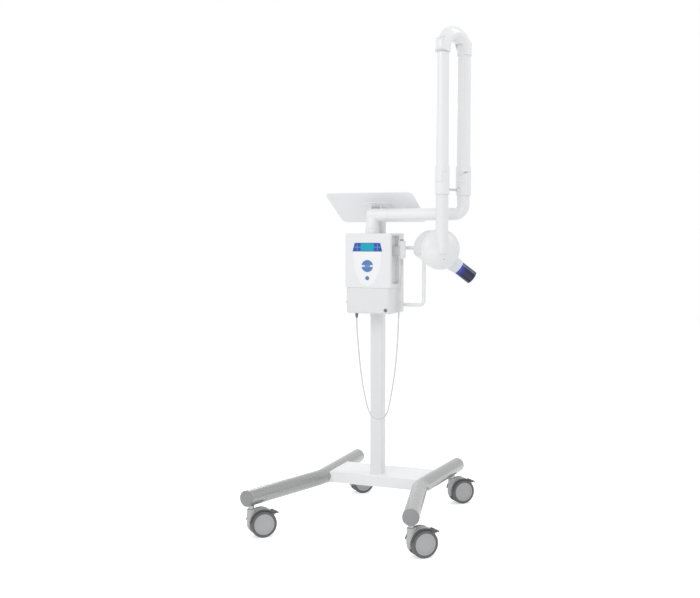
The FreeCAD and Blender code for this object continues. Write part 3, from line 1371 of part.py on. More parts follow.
def knuckle_blank():
    """The knuckle's outside: a round bar bent over from one arm to the other."""
    low = UPPER_PIVOT_Z - KNUCKLE_RADIUS
    reach = FOLD.Length / 2
    middle = (SHOULDER + WRIST) * 0.5
    top = low + KNUCKLE_LEG + reach
    start = SHOULDER + UP * low
    spring_right = SHOULDER + UP * (low + KNUCKLE_LEG)
    crown = middle + UP * top
    spring_left = WRIST + UP * (low + KNUCKLE_LEG)
    end = WRIST + UP * low
    path = Part.Wire(
        [
            Part.LineSegment(start, spring_right).toShape(),
            Part.Arc(spring_right, crown, spring_left).toShape(),
            Part.LineSegment(spring_left, end).toShape(),
        ]
    )
    return bent_tube(path, KNUCKLE_RADIUS)



def knuckle_cut(foot, opening):
    """What is cut out of the knuckle at one of its two pivots, for the tongue and its swing."""
    wide = KNUCKLE_RADIUS * 3
    half_tongue = TONGUE_WIDTH / 2
    slot = box(Vector(-wide, -half_tongue, -JOINT_LIP), Vector(wide, half_tongue, wide))
    slot = slot.fuse(across_bar(KNUCKLE_RADIUS + JOINT_GAP, half_tongue))
    corner = box(Vector(0, -wide, 0), Vector(wide, wide, wide)).cut(across_bar(KNUCKLE_RADIUS, wide))
    reach = box(Vector(-FOLD.Length / 2 + 2, -wide, -wide), Vector(wide, wide, wide))
    tool = slot.fuse(corner).common(reach)
    return placed(tool, joint_placement(foot + UP * UPPER_PIVOT_Z, UP * -1, opening))


def knuckle_pin(foot, opening):
    """A pivot pin across one leg of the knuckle."""
    pin = across_bar(PIN_DIAMETER / 2, TONGUE_WIDTH / 2 + 1)
    return placed(pin, joint_placement(foot + UP * UPPER_PIVOT_Z, UP * -1, opening))


def knuckle_halves():
    """The two moulded halves of the knuckle, parted at the crown, each with its own pivot pin."""
    blank = knuckle_blank()
    blank = blank.cut(knuckle_cut(SHOULDER, FOLD_DIRECTION * -1))
    blank = blank.cut(knuckle_cut(WRIST, FOLD_DIRECTION))
    middle = (SHOULDER + WRIST) * 0.5 + UP * UPPER_PIVOT_Z
    size = FOLD.Length * 3
    half_space = Part.makeBox(size, size, size, Vector(0, -size / 2, -size / 2))
    halves = []
    for foot, towards in ((SHOULDER, FOLD_DIRECTION * -1), (WRIST, FOLD_DIRECTION)):
        start = middle + towards * (PANEL_SEAM / 4)
        side = placed(half_space.copy(), joint_placement(start, UP, towards))
        half = blank.common(side).fuse(knuckle_pin(foot, towards))
        halves.append(half.removeSplitter())
    return halves


def link_ears():
    """Two ears on the lower sleeve with the link's pin between them, drawn about the sleeve's axis."""
    pivot = SHOULDER_JOINT_RADIUS + LINK_PIVOT_REACH
    inner = LINK_WIDTH / 2 + LINK_SIDE_GAP
    outer = inner + LINK_EAR
    half = LINK_HEIGHT / 2
    pieces = []
    for side in (-1, 1):
        near, far = sorted((side * inner, side * outer))
        pieces.append(box(Vector(SHOULDER_JOINT_RADIUS - LINK_EAR, near, -half), Vector(pivot, far, half)))
        pieces.append(rod(half, Vector(pivot, near, 0), Vector(pivot, far, 0)))
    pieces.append(rod(LINK_PIN_DIAMETER / 2, Vector(pivot, -outer, 0), Vector(pivot, outer, 0)))
    return pieces[0].fuse(pieces[1:])


def link_catch(grow):
    """The lug on the outer sleeve that the link's free end swings up against, let into a pocket of the sleeve."""
    start = WRIST_JOINT_RADIUS - LINK_EAR
    end = WRIST_JOINT_RADIUS + LINK_CATCH_REACH
    half = LINK_WIDTH / 2 + LINK_SIDE_GAP + LINK_EAR
    low = LINK_HEIGHT / 2 + LINK_SIDE_GAP
    lug = box(
        Vector(start - grow, -half - grow, low - grow),
        Vector(end + grow, half + grow, low + LINK_CATCH_HEIGHT + grow),
    )
    tip = [e for e in lug.Edges if e.BoundBox.ZLength > 1 and e.BoundBox.XMin > end - 1]
    lug = lug.makeFillet(LINK_TIP_RADIUS, tip)
    return placed(lug, joint_placement(WRIST + UP * LINK_Z, UP, FOLD_DIRECTION * -1))


def transport_link():
    """The link that ties the folded arm: a flat bar with a round eye, on the lower sleeve's ears."""
    pivot = SHOULDER_JOINT_RADIUS + LINK_PIVOT_REACH
    end = FOLD.Length - WRIST_JOINT_RADIUS - LINK_END_GAP
    half = LINK_HEIGHT / 2
    side = LINK_WIDTH / 2
    bar = box(Vector(pivot, -side, -half), Vector(end, side, half))
    tip = [e for e in bar.Edges if e.BoundBox.YLength > 1 and e.BoundBox.XMin > end - 1]
    bar = bar.makeFillet(LINK_TIP_RADIUS, tip)
    eye = rod(half, Vector(pivot, -side, 0), Vector(pivot, side, 0))
    bore = rod(LINK_PIN_DIAMETER / 2 + RUNNING_FIT, Vector(pivot, -side - 1, 0), Vector(pivot, side + 1, 0))
    link = bar.fuse(eye).removeSplitter().cut(bore)
    return placed(link, joint_placement(SHOULDER + UP * LINK_Z, UP, FOLD_DIRECTION))


def head_placement():
    """The tube head's own axes: X to the cone's side, Y to the rear, Z up, centred on its tilt axis."""
    matrix = FreeCAD.Matrix(
        HEAD_SIDE.x, -HEAD_FRONT.x, 0, WRIST.x,
        HEAD_SIDE.y, -HEAD_FRONT.y, 0, WRIST.y,
        0, 0, 1, HEAD_CENTRE_Z,
        0, 0, 0, 1,
    )
    return Placement(matrix)


def head_yoke():
    """The drop tube, which runs into the round disc that the head tilts on, and its axle."""
    radius = DROP_TUBE_DIAMETER / 2
    top = WRIST_SEAM_Z - SEAT_GAP - HEAD_CENTRE_Z
    tube = rod(radius, Vector(0, 0, 0), UP * top)
    foot = Part.makeSphere(radius)
    pin = rod(WRIST_PIN_DIAMETER / 2, UP * (top - 1), UP * (top + WRIST_PIN_LENGTH))
    front = -YOKE_DISC_FRONT
    disc = rod(YOKE_DISC_RADIUS, BACK * front, BACK * (front + YOKE_DISC_THICKNESS))
    rims = [e for e in disc.Edges if e.BoundBox.YLength < 1e-6]
    disc = disc.makeFillet(YOKE_DISC_EDGE, rims)
    dome_radius = (YOKE_DOME_RADIUS ** 2 + YOKE_DOME_HEIGHT ** 2) / (2 * YOKE_DOME_HEIGHT)
    ball = Part.makeSphere(dome_radius, BACK * (front - YOKE_DOME_HEIGHT + dome_radius))
    dome = ball.common(rod(YOKE_DOME_RADIUS, BACK * (front - YOKE_DOME_HEIGHT - 1), BACK * (front + 1)))
    back = front + YOKE_DISC_THICKNESS
    axle = rod(YOKE_AXLE_DIAMETER / 2, BACK * (back - 1), BACK * (back + SWIVEL_GAP + YOKE_AXLE_LENGTH))
    yoke = tube.fuse([foot, disc, dome, axle, pin]).removeSplitter()
    return placed(yoke, head_placement())


def head_block(inset, front, back):
    """The head's form: a drum with two flats along the beam, moved in by an inset."""
    radius = HEAD_RADIUS - inset
    half = HEAD_FLAT_HALF - inset
    drum = rod(radius, BACK * front, BACK * back)
    slab = box(Vector(-radius * 2, front - 1, -half), Vector(radius * 2, back + 1, half))
    block = drum.common(slab)
    long_edges = [e for e in block.Edges if abs(e.BoundBox.YLength - (back - front)) < 1e-4
                  and e.BoundBox.XLength < 1e-4 and abs(abs(e.BoundBox.Center.z) - half) < 1e-4]
    block = block.makeFillet(HEAD_FLAT_CORNER - inset, long_edges)
    block.rotate(Vector(0, 0, 0), BACK, BEAM_DROP)
    return block


def beam_local():
    """The beam's direction on the head's own axes."""
    drop = math.radians(BEAM_DROP)
    return Vector(math.cos(drop), 0, -math.sin(drop))


def head_middle():
    """The middle of the head's depth, behind the disc."""
    return BACK * (-HEAD_FACE + HEAD_DEPTH / 2)


def head_housing():
    """The head's rear tub, rounded at the back, with the neck's hole in its end."""
    front = -HEAD_FACE + HEAD_COVER_THICKNESS + PANEL_SEAM / 2
    back = -HEAD_FACE + HEAD_DEPTH
    outer = head_block(0, front, back)
    outer = outer.makeFillet(HEAD_REAR_EDGE, edges_at_depth(outer, back))
    inner = head_block(HEAD_WALL, front - 1, back - HEAD_WALL)
    inner = inner.makeFillet(HEAD_REAR_EDGE - HEAD_WALL, edges_at_depth(inner, back - HEAD_WALL))
    middle = head_middle()
    beam = beam_local()
    hole = rod(NECK_ROOT_RADIUS - NECK_SPIGOT_WALL, middle, middle + beam * (HEAD_RADIUS + HEAD_WALL))
    return placed(outer.cut(inner).cut(hole), head_placement())


def head_cover():
    """The head's front plate with the hub that turns on the disc's axle."""
    front = -HEAD_FACE
    plate = head_block(0, front, front + HEAD_COVER_THICKNESS)
    hub = rod(HEAD_COVER_HUB_DIAMETER / 2, BACK * front, BACK * (front + HEAD_COVER_HUB_LENGTH))
    bore = rod(YOKE_AXLE_DIAMETER / 2 + RUNNING_FIT, BACK * (front - 1), BACK * (front + YOKE_AXLE_LENGTH + 1))
    return placed(plate.fuse(hub).cut(bore).removeSplitter(), head_placement())


def tube_tank():
    """The sealed tank with the x-ray tube and its transformer, on the tub's rear wall."""
    back = -HEAD_FACE + HEAD_DEPTH - HEAD_WALL - SEAT_GAP
    tank = rod(TANK_RADIUS, BACK * (back - TANK_DEPTH), BACK * back)
    rims = [e for e in tank.Edges if e.BoundBox.YLength < 1e-6]
    tank = tank.makeFillet(HEAD_REAR_EDGE - HEAD_WALL, rims)
    return placed(tank, head_placement())


def beam_neck():
    """The neck that collimates the beam: a tapered ring, let into the tub and open along the beam."""
    middle = head_middle()
    beam = beam_local()
    start = HEAD_RADIUS - HEAD_WALL - NECK_INSET / 2
    root = middle + beam * (HEAD_RADIUS - NECK_INSET)
    body = Part.makeCone(NECK_ROOT_RADIUS, NECK_TIP_RADIUS, NECK_END - HEAD_RADIUS + NECK_INSET, root, beam)
    body = body.cut(head_block(-SEAT_GAP, 0, -HEAD_FACE + HEAD_DEPTH))
    spigot_radius = NECK_ROOT_RADIUS - NECK_SPIGOT_WALL - SEAT_GAP
    spigot = rod(spigot_radius, middle + beam * start, middle + beam * (HEAD_RADIUS + NECK_SPIGOT_REACH))
    bore = rod(NECK_INNER_RADIUS, middle, middle + beam * (NECK_END + 1))
    seat = rod(CONE_RADIUS - CONE_WALL, middle + beam * (NECK_END - CONE_SPIGOT), middle + beam * (NECK_END + 1))
    return placed(body.fuse(spigot).cut(bore).cut(seat).removeSplitter(), head_placement())


def beam_cone():
    """The open-ended cone: a plain tube with a spigot in the neck."""
    middle = head_middle()
    beam = beam_local()
    start = middle + beam * (NECK_END + SEAT_GAP)
    end = start + beam * CONE_LENGTH
    tube = rod(CONE_RADIUS, start, end)
    spigot = rod(CONE_RADIUS - CONE_WALL - SEAT_GAP, start - beam * (CONE_SPIGOT - 1), start + beam)
    bore = rod(CONE_RADIUS - 2 * CONE_WALL, start - beam * CONE_SPIGOT, end + beam)
    wide = rod(CONE_RADIUS - CONE_WALL, start + beam * CONE_WALL, end + beam)
    return placed(tube.fuse(spigot).cut(bore).cut(wide).removeSplitter(), head_placement())


def build_base():
    """Legs, caps, pan and column."""
    stems = stem_places()
    save("leg_left", leg(-1, [stems["front_left"], stems["rear_left"]]))
    save("leg_right", leg(1, [stems["front_right"], stems["rear_right"]]))
    save("leg_end_caps", leg_caps())
    save("base_plate", base_plate())
    save("column", column())
    save("tray_bracket", tray_bracket())
    save("tray", tray())


def build_box():
    """The control box and what is on and in it."""
    save("box_front_cover", box_front())
    save("box_lower_cover", box_lower())
    save("box_back", box_back())
    save("control_board", control_board())
    save("power_module", power_module())
    save("keypad_panel", keypad_panel())
    save("display_window", display_window())
    front = BOX_FRONT_Y - PANEL_PROUD - KEY_PROUD
    for name, key in key_shapes(0, front, KEY_DEPTH + KEY_PROUD + PANEL_PROUD).items():
        save(name, key)
    save("mains_key", mains_key())
    save("arm_bracket", arm_bracket())
    save("push_handle", push_handle())
    save("handset_holder", handset_holder())
    save("handset", handset())
    save("handset_button", handset_button())
    save("cord_gland", cord_gland())
    save("handset_cord", cord())


def build_arm():
    """The extension, the folding arm and the transport link."""
    save("extension_elbow", extension_elbow())
    save("extension_arm", extension_arm())
    save("shoulder_fork", shoulder_fork())
    toward = FOLD_DIRECTION
    away = FOLD_DIRECTION * -1
    lower = arm_section(SHOULDER, toward, away, SHOULDER_JOINT_RADIUS, LOWER_ARM_DIAMETER, LOWER_TONGUE_FRONT)
    save("lower_arm", lower)
    save("lower_arm_spring", balance_spring(SHOULDER))
    halves = knuckle_halves()
    save("knuckle_lower_half", halves[0])
    save("knuckle_outer_half", halves[1])
    outer = arm_section(WRIST, away, toward, WRIST_JOINT_RADIUS, OUTER_ARM_DIAMETER, OUTER_TONGUE_FRONT)
    save("outer_arm", outer)
    save("outer_arm_spring", balance_spring(WRIST))
    save("wrist_fork", wrist_fork())
    save("transport_link", transport_link())


def build_head():
    """The tube head on its yoke."""
    save("head_yoke", head_yoke())
    save("head_cover", head_cover())
    save("head_housing", head_housing())
    save("tube_tank", tube_tank())
    save("beam_neck", beam_neck())
    save("beam_cone", beam_cone())


os.makedirs("parts", exist_ok=True)
build_base()
build_castors()
build_box()
build_arm()
build_head()
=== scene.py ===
import math

import bpy
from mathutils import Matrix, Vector


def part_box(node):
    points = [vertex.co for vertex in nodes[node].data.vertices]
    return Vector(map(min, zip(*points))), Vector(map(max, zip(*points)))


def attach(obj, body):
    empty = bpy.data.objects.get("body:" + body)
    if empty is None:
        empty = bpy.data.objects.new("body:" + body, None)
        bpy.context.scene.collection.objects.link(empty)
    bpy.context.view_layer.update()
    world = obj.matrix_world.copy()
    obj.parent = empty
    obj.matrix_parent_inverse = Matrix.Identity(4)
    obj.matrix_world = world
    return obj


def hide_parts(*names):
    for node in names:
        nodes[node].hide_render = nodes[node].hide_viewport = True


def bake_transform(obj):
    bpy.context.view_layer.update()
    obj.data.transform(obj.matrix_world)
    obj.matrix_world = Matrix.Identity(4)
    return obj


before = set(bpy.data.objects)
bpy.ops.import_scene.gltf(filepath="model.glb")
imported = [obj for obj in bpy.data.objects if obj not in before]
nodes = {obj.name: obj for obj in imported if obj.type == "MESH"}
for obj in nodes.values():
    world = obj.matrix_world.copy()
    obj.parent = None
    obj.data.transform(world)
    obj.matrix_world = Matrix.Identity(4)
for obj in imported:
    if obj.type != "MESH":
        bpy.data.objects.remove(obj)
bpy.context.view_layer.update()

# The viewpoint: standing to the right of the unit's front, with the eye at the height of the control box,
# and a moderate lens, so that the legs spread towards the viewer.
bpy.ops.object.camera_add(location=(1.4595, -3.720, 1.12), rotation=(math.radians(86.44), 0, math.radians(23)))
camera = bpy.context.object
camera.data.lens = 52.97
camera.data.sensor_width = 36
bpy.context.scene.camera = camera


# The hand switch's cord: a limp pale grey PVC lead, 6.5 mm thick, that hangs in one long loop from the strain
# relief under the control box, down in front of the column and up to the foot of the hand switch.
def shader_of(name):
    """A new material with its shader and an object-space coordinate node."""
    material = bpy.data.materials.new(name)
    material.use_nodes = True
    tree = material.node_tree
    place = tree.nodes.new("ShaderNodeTexCoord")
    return material, tree, tree.nodes["Principled BSDF"], place


cord_line = bpy.data.curves.new("hand_switch_cord", "CURVE")
cord_line.dimensions = "3D"
cord_line.resolution_u = 10
cord_route = [
    (-0.0825, -0.0200, 0.7980), (-0.0825, -0.0200, 0.7650), (-0.0785, -0.0203, 0.7220), (-0.0743, -0.0205, 0.6740),
    (-0.0691, -0.0206, 0.6240), (-0.0625, -0.0208, 0.5720), (-0.0540, -0.0210, 0.5210), (-0.0430, -0.0213, 0.4750),
    (-0.0307, -0.0215, 0.4310), (-0.0150, -0.0217, 0.4125), (0.0070, -0.0219, 0.4040), (0.0295, -0.0221, 0.4095),
    (0.0450, -0.0220, 0.4275), (0.0514, -0.0216, 0.4500), (0.0590, -0.0207, 0.4870), (0.0675, -0.0192, 0.5340),
    (0.0742, -0.0170, 0.5830), (0.0792, -0.0142, 0.6330), (0.0823, -0.0110, 0.6840), (0.0842, -0.0076, 0.7360),
    (0.0853, -0.0042, 0.7890), (0.0862, -0.0011, 0.8420), (0.0877, 0.0015, 0.8930), (0.0908, 0.0036, 0.9420),
    (0.0953, 0.0050, 0.9860), (0.0953, 0.0050, 1.0240),
]
run = cord_line.splines.new("NURBS")
run.points.add(len(cord_route) - 1)
for point, place in zip(run.points, cord_route):
    point.co = (*place, 1)
run.order_u = 3
run.use_endpoint_u = True
cord = bpy.data.objects.new("hand_switch_cord", cord_line)
bpy.context.scene.collection.objects.link(cord)
centreline = bpy.data.meshes.new_from_object(cord)
cord_path = [tuple(vertex.co) for vertex in centreline.vertices]
cord_line.bevel_depth = 0.00325
cord_line.bevel_resolution = 5
cord_line.use_fill_caps = True
bpy.ops.object.select_all(action="DESELECT")
cord.select_set(True)
bpy.context.view_layer.objects.active = cord
bpy.ops.object.convert(target="MESH")
cord = bpy.context.object
bpy.ops.object.shade_smooth()

cord_pvc, tree, shader, place = shader_of("cord_pvc")
grain = tree.nodes.new("ShaderNodeTexNoise")
grain.inputs["Scale"].default_value = 90
tree.links.new(place.outputs["Object"], grain.inputs["Vector"])
tint = tree.nodes.new("ShaderNodeMix")
tint.data_type = "RGBA"
tint.inputs["A"].default_value = (0.68, 0.68, 0.70, 1)
tint.inputs["B"].default_value = (0.76, 0.76, 0.78, 1)
tree.links.new(grain.outputs["Fac"], tint.inputs["Factor"])
tree.links.new(tint.outputs["Result"], shader.inputs["Base Color"])
skin = tree.nodes.new("ShaderNodeBump")
skin.inputs["Strength"].default_value = 0.08
skin.inputs["Distance"].default_value = 0.0003
tree.links.new(grain.outputs["Fac"], skin.inputs["Height"])
tree.links.new(skin.outputs["Normal"], shader.inputs["Normal"])
shader.inputs["Roughness"].default_value = 0.5
cord.data.materials.append(cord_pvc)
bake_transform(cord)
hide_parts("handset_cord")


# The studio: a pale floor that takes the soft shadow, a white surround, one large soft lamp high on the left
# of the viewer, a low one in front that opens the shadows below, and two narrow ones behind that draw the glints.
def looking_rays(tree):
    """1 for rays from the camera, off a gloss or through glass, and 0 for those that carry light between things."""
    path = tree.nodes.new("ShaderNodeLightPath")
    value = path.outputs["Is Camera Ray"]
    for kind in ("Is Glossy Ray", "Is Transmission Ray"):
        either = tree.nodes.new("ShaderNodeMath")
        either.operation = "MAXIMUM"
        tree.links.new(value, either.inputs[0])
        tree.links.new(path.outputs[kind], either.inputs[1])
        value = either.outputs["Value"]
    return value


bpy.ops.object.select_all(action="DESELECT")
bpy.ops.mesh.primitive_plane_add(size=16, location=(0, 1.5, 0))
floor = bpy.context.object
floor.name = "studio_floor"
floor_paint, tree, shader, place = shader_of("studio_floor_paint")
shader.inputs["Base Color"].default_value = (0.86, 0.86, 0.86, 1)
shader.inputs["Roughness"].default_value = 0.85
speckle = tree.nodes.new("ShaderNodeTexNoise")
speckle.inputs["Scale"].default_value = 3
tree.links.new(place.outputs["Object"], speckle.inputs["Vector"])
spread = tree.nodes.new("ShaderNodeMapRange")
spread.inputs["To Min"].default_value = 0.8
spread.inputs["To Max"].default_value = 0.9
tree.links.new(speckle.outputs["Fac"], spread.inputs["Value"])
tree.links.new(spread.outputs["Result"], shader.inputs["Roughness"])
glow = tree.nodes.new("ShaderNodeEmission")
glow.inputs["Color"].default_value = (1, 1, 1, 1)
glow.inputs["Strength"].default_value = 0.5
both = tree.nodes.new("ShaderNodeAddShader")
tree.links.new(shader.outputs["BSDF"], both.inputs[0])
tree.links.new(glow.outputs["Emission"], both.inputs[1])
pick = tree.nodes.new("ShaderNodeMixShader")
tree.links.new(looking_rays(tree), pick.inputs["Fac"])
tree.links.new(shader.outputs["BSDF"], pick.inputs[1])
tree.links.new(both.outputs["Shader"], pick.inputs[2])
tree.links.new(pick.outputs["Shader"], tree.nodes["Material Output"].inputs["Surface"])
floor.data.materials.append(floor_paint)

world = bpy.data.worlds.new("studio_surround")
bpy.context.scene.world = world
world.use_nodes = True
tree = world.node_tree
dim = tree.nodes["Background"]
dim.inputs["Color"].default_value = (0.97, 0.98, 1.0, 1)
dim.inputs["Strength"].default_value = 0.74
bright = tree.nodes.new("ShaderNodeBackground")
bright.inputs["Color"].default_value = (1, 1, 1, 1)
bright.inputs["Strength"].default_value = 1.0
pick = tree.nodes.new("ShaderNodeMixShader")
tree.links.new(looking_rays(tree), pick.inputs["Fac"])
tree.links.new(dim.outputs["Background"], pick.inputs[1])
tree.links.new(bright.outputs["Background"], pick.inputs[2])
tree.links.new(pick.outputs["Shader"], tree.nodes["World Output"].inputs["Surface"])


def soft_lamp(name, place, aim, wide, high, power):
    """A rectangular lamp that faces a point on the unit."""
    bpy.ops.object.light_add(type="AREA", location=place)
    lamp = bpy.context.object
    lamp.name = name
    lamp.data.shape = "RECTANGLE"
    lamp.data.size = wide
    lamp.data.size_y = high
    lamp.data.energy = power
    lamp.rotation_euler = (Vector(aim) - Vector(place)).to_track_quat("-Z", "Y").to_euler()


soft_lamp("key_lamp_left", (-1.4, -3.4, 3.0), (0, 0, 0.9), 2.4, 2.4, 30)
soft_lamp("fill_lamp_low", (0.9, -3.6, 0.5), (0, 0, 1.1), 2.4, 1.0, 12)
soft_lamp("strip_lamp_back", (2.0, 0.7, 3.2), (0.2, 0, 0.9), 0.4, 2.0, 14)
soft_lamp("rim_lamp_left", (-1.8, 2.6, 2.6), (0, 0, 0.5), 0.8, 1.6, 14)
bpy.context.scene.view_settings.view_transform = "Standard"


# Both legs: bent steel tube, 60 mm across, in a silver enamel with a fine metallic flake and a clear coat.
# The castor sockets are welded in the lower wall, so no fixing shows from above.
def make_coat_group():
    """A finish with colour clouds, uneven gloss and a fine surface texture, all in object space."""
    group = bpy.data.node_groups.new("coat_texture", "ShaderNodeTree")
    face = group.interface
    for name, kind, default in (
        ("Colour", "NodeSocketColor", (0.8, 0.8, 0.8, 1)),
        ("Cloud Colour", "NodeSocketColor", (0.75, 0.75, 0.75, 1)),
        ("Cloud Scale", "NodeSocketFloat", 7.0),
        ("Grain Scale", "NodeSocketFloat", 420.0),
        ("Grain Height", "NodeSocketFloat", 0.05),
        ("Roughness", "NodeSocketFloat", 0.4),
        ("Roughness Spread", "NodeSocketFloat", 0.08),
    ):
        socket = face.new_socket(name, in_out="INPUT", socket_type=kind)
        socket.default_value = default
    face.new_socket("Colour", in_out="OUTPUT", socket_type="NodeSocketColor")
    face.new_socket("Roughness", in_out="OUTPUT", socket_type="NodeSocketFloat")
    face.new_socket("Normal", in_out="OUTPUT", socket_type="NodeSocketVector")
    make = group.nodes.new
    link = group.links.new
    given = make("NodeGroupInput")
    made = make("NodeGroupOutput")
    place = make("ShaderNodeTexCoord")
    cloud = make("ShaderNodeTexNoise")
    cloud.inputs["Detail"].default_value = 4
    link(place.outputs["Object"], cloud.inputs["Vector"])
    link(given.outputs["Cloud Scale"], cloud.inputs["Scale"])
    colour = make("ShaderNodeMix")
    colour.data_type = "RGBA"
    link(cloud.outputs["Fac"], colour.inputs["Factor"])
    link(given.outputs["Colour"], colour.inputs["A"])
    link(given.outputs["Cloud Colour"], colour.inputs["B"])
    link(colour.outputs["Result"], made.inputs["Colour"])
    gloss = make("ShaderNodeTexNoise")
    gloss.inputs["Detail"].default_value = 2
    gloss.inputs["Scale"].default_value = 23
    link(place.outputs["Object"], gloss.inputs["Vector"])
    swing = make("ShaderNodeMath")
    swing.operation = "SUBTRACT"
    swing.inputs[1].default_value = 0.5
    link(gloss.outputs["Fac"], swing.inputs[0])
    rough = make("ShaderNodeMath")
    rough.operation = "MULTIPLY_ADD"
    link(swing.outputs["Value"], rough.inputs[0])
    link(given.outputs["Roughness Spread"], rough.inputs[1])
    link(given.outputs["Roughness"], rough.inputs[2])
    link(rough.outputs["Value"], made.inputs["Roughness"])
    grain = make("ShaderNodeTexNoise")
    grain.inputs["Detail"].default_value = 1
    link(place.outputs["Object"], grain.inputs["Vector"])
    link(given.outputs["Grain Scale"], grain.inputs["Scale"])
    bump = make("ShaderNodeBump")
    bump.inputs["Distance"].default_value = 0.0004
    link(given.outputs["Grain Height"], bump.inputs["Strength"])
    link(grain.outputs["Fac"], bump.inputs["Height"])
    link(bump.outputs["Normal"], made.inputs["Normal"])
    return group


coat_texture = make_coat_group()


def grey(value, tint=0.0):
    """A linear colour from a grey as it looks on a screen, 0 to 255, turned towards blue by a tint."""
    shade = ((value / 255 + 0.055) / 1.055) ** 2.4
    return (shade * (1 - tint), shade, min(1.0, shade * (1 + tint)), 1)


def coated(name, colour, cloud, rough, spread=0.08, grain=420.0, height=0.05, cloud_scale=7.0, metal=0.0, coat=0.0):
    """A material for one finish, with the coat texture on it."""
    material, tree, shader, place = shader_of(name)
    tree.nodes.remove(place)
    texture = tree.nodes.new("ShaderNodeGroup")
    texture.node_tree = coat_texture
    texture.name = "coat"
    texture.inputs["Colour"].default_value = colour
    texture.inputs["Cloud Colour"].default_value = cloud
    texture.inputs["Cloud Scale"].default_value = cloud_scale
    texture.inputs["Grain Scale"].default_value = grain
    texture.inputs["Grain Height"].default_value = height
    texture.inputs["Roughness"].default_value = rough
    texture.inputs["Roughness Spread"].default_value = spread
    tree.links.new(texture.outputs["Colour"], shader.inputs["Base Color"])
    tree.links.new(texture.outputs["Roughness"], shader.inputs["Roughness"])
    tree.links.new(texture.outputs["Normal"], shader.inputs["Normal"])
    shader.inputs["Metallic"].default_value = metal
    shader.inputs["Coat Weight"].default_value = coat
    return material


def finish_with(material, *names):
    """Gives CAD nodes a finish in place of the plain one."""
    for name in names:
        mesh = nodes[name].data
        mesh.materials.clear()
        mesh.materials.append(material)


silver_enamel = coated(
    "silver_enamel", grey(174), grey(148), 0.28, spread=0.10, grain=500, height=0.05, cloud_scale=1300,
    metal=0.55, coat=0.35,
)
finish_with(silver_enamel, "leg_left", "leg_right")


# Four plugs in the legs' ends: moulded grey plastic with a fine spark-eroded skin, pushed in by a ribbed spigot.
plug_plastic = coated("plug_plastic", grey(154), grey(145), 0.5, grain=1500, height=0.12)
finish_with(plug_plastic, "leg_end_caps")


# The centre pan: folded sheet steel in a light powder coat, open below, with the column's doubler welded in it.
# Four zinc-plated bolts with washers come up through the doubler into the column's foot.
def surface_at(node, start, direction):
    """The point where a line from outside first meets a CAD node, and the way the surface faces there."""
    return nodes[node].ray_cast(Vector(start), Vector(direction))[1:3]


def turned(name, profile, sides=48):
    """A round piece about Z, drawn up ring by ring: each step of the profile is a radius and a height."""
    bpy.ops.object.select_all(action="DESELECT")
    radius, height = profile[0]
    bpy.ops.mesh.primitive_circle_add(vertices=sides, radius=radius, fill_type="NGON", location=(0, 0, height))
    piece = bpy.context.object
    piece.name = name
    bpy.ops.object.mode_set(mode="EDIT")
    bpy.ops.mesh.select_all(action="SELECT")
    for next_radius, next_height in profile[1:]:
        bpy.ops.mesh.extrude_region_move(TRANSFORM_OT_translate={"value": (0, 0, next_height - height)})
        ratio = next_radius / radius
        bpy.ops.transform.resize(value=(ratio, ratio, 1), center_override=(0, 0, next_height))
        radius, height = next_radius, next_height
    bpy.ops.mesh.select_all(action="SELECT")
    bpy.ops.mesh.normals_make_consistent(inside=False)
    bpy.ops.object.mode_set(mode="OBJECT")
    return piece


def cut_by(piece, cutter):
    """Takes one closed piece out of another."""
    cut = piece.modifiers.new("cut", "BOOLEAN")
    cut.operation = "DIFFERENCE"
    cut.solver = "EXACT"
    cut.object = cutter
    bpy.ops.object.select_all(action="DESELECT")
    piece.select_set(True)
    bpy.context.view_layer.objects.active = piece
    bpy.ops.object.modifier_apply(modifier="cut")
    bpy.data.objects.remove(cutter)


def hexagon(width, low, high):
    """A six-sided bar about Z, given its width across the flats."""
    bpy.ops.object.select_all(action="DESELECT")
    radius = width / 2 / math.cos(math.radians(30))
    middle = (0, 0, (low + high) / 2)
    bpy.ops.mesh.primitive_cylinder_add(vertices=6, radius=radius, depth=high - low, location=middle)
    return bpy.context.object


def copies_at(piece, name, seats, material, body):
    """Sets copies of a piece on several seats, each a point and a direction, as one finished object."""
    parts = []
    for point, direction in seats:
        part = piece.copy()
        part.data = piece.data.copy()
        bpy.context.scene.collection.objects.link(part)
        part.rotation_euler = Vector(direction).to_track_quat("Z", "Y").to_euler()
        part.location = point
        parts.append(part)
    bpy.data.objects.remove(piece)
    bpy.ops.object.select_all(action="DESELECT")
    for part in parts:
        part.select_set(True)
    bpy.context.view_layer.objects.active = parts[0]
    if len(parts) > 1:
        bpy.ops.object.join()
    whole = bpy.context.object
    whole.name = name
    bpy.ops.object.transform_apply(location=True, rotation=True, scale=True)
    bpy.ops.object.shade_smooth_by_angle(angle=math.radians(32))
    whole.data.materials.clear()
    whole.data.materials.append(material)
    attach(whole, body)
    return whole


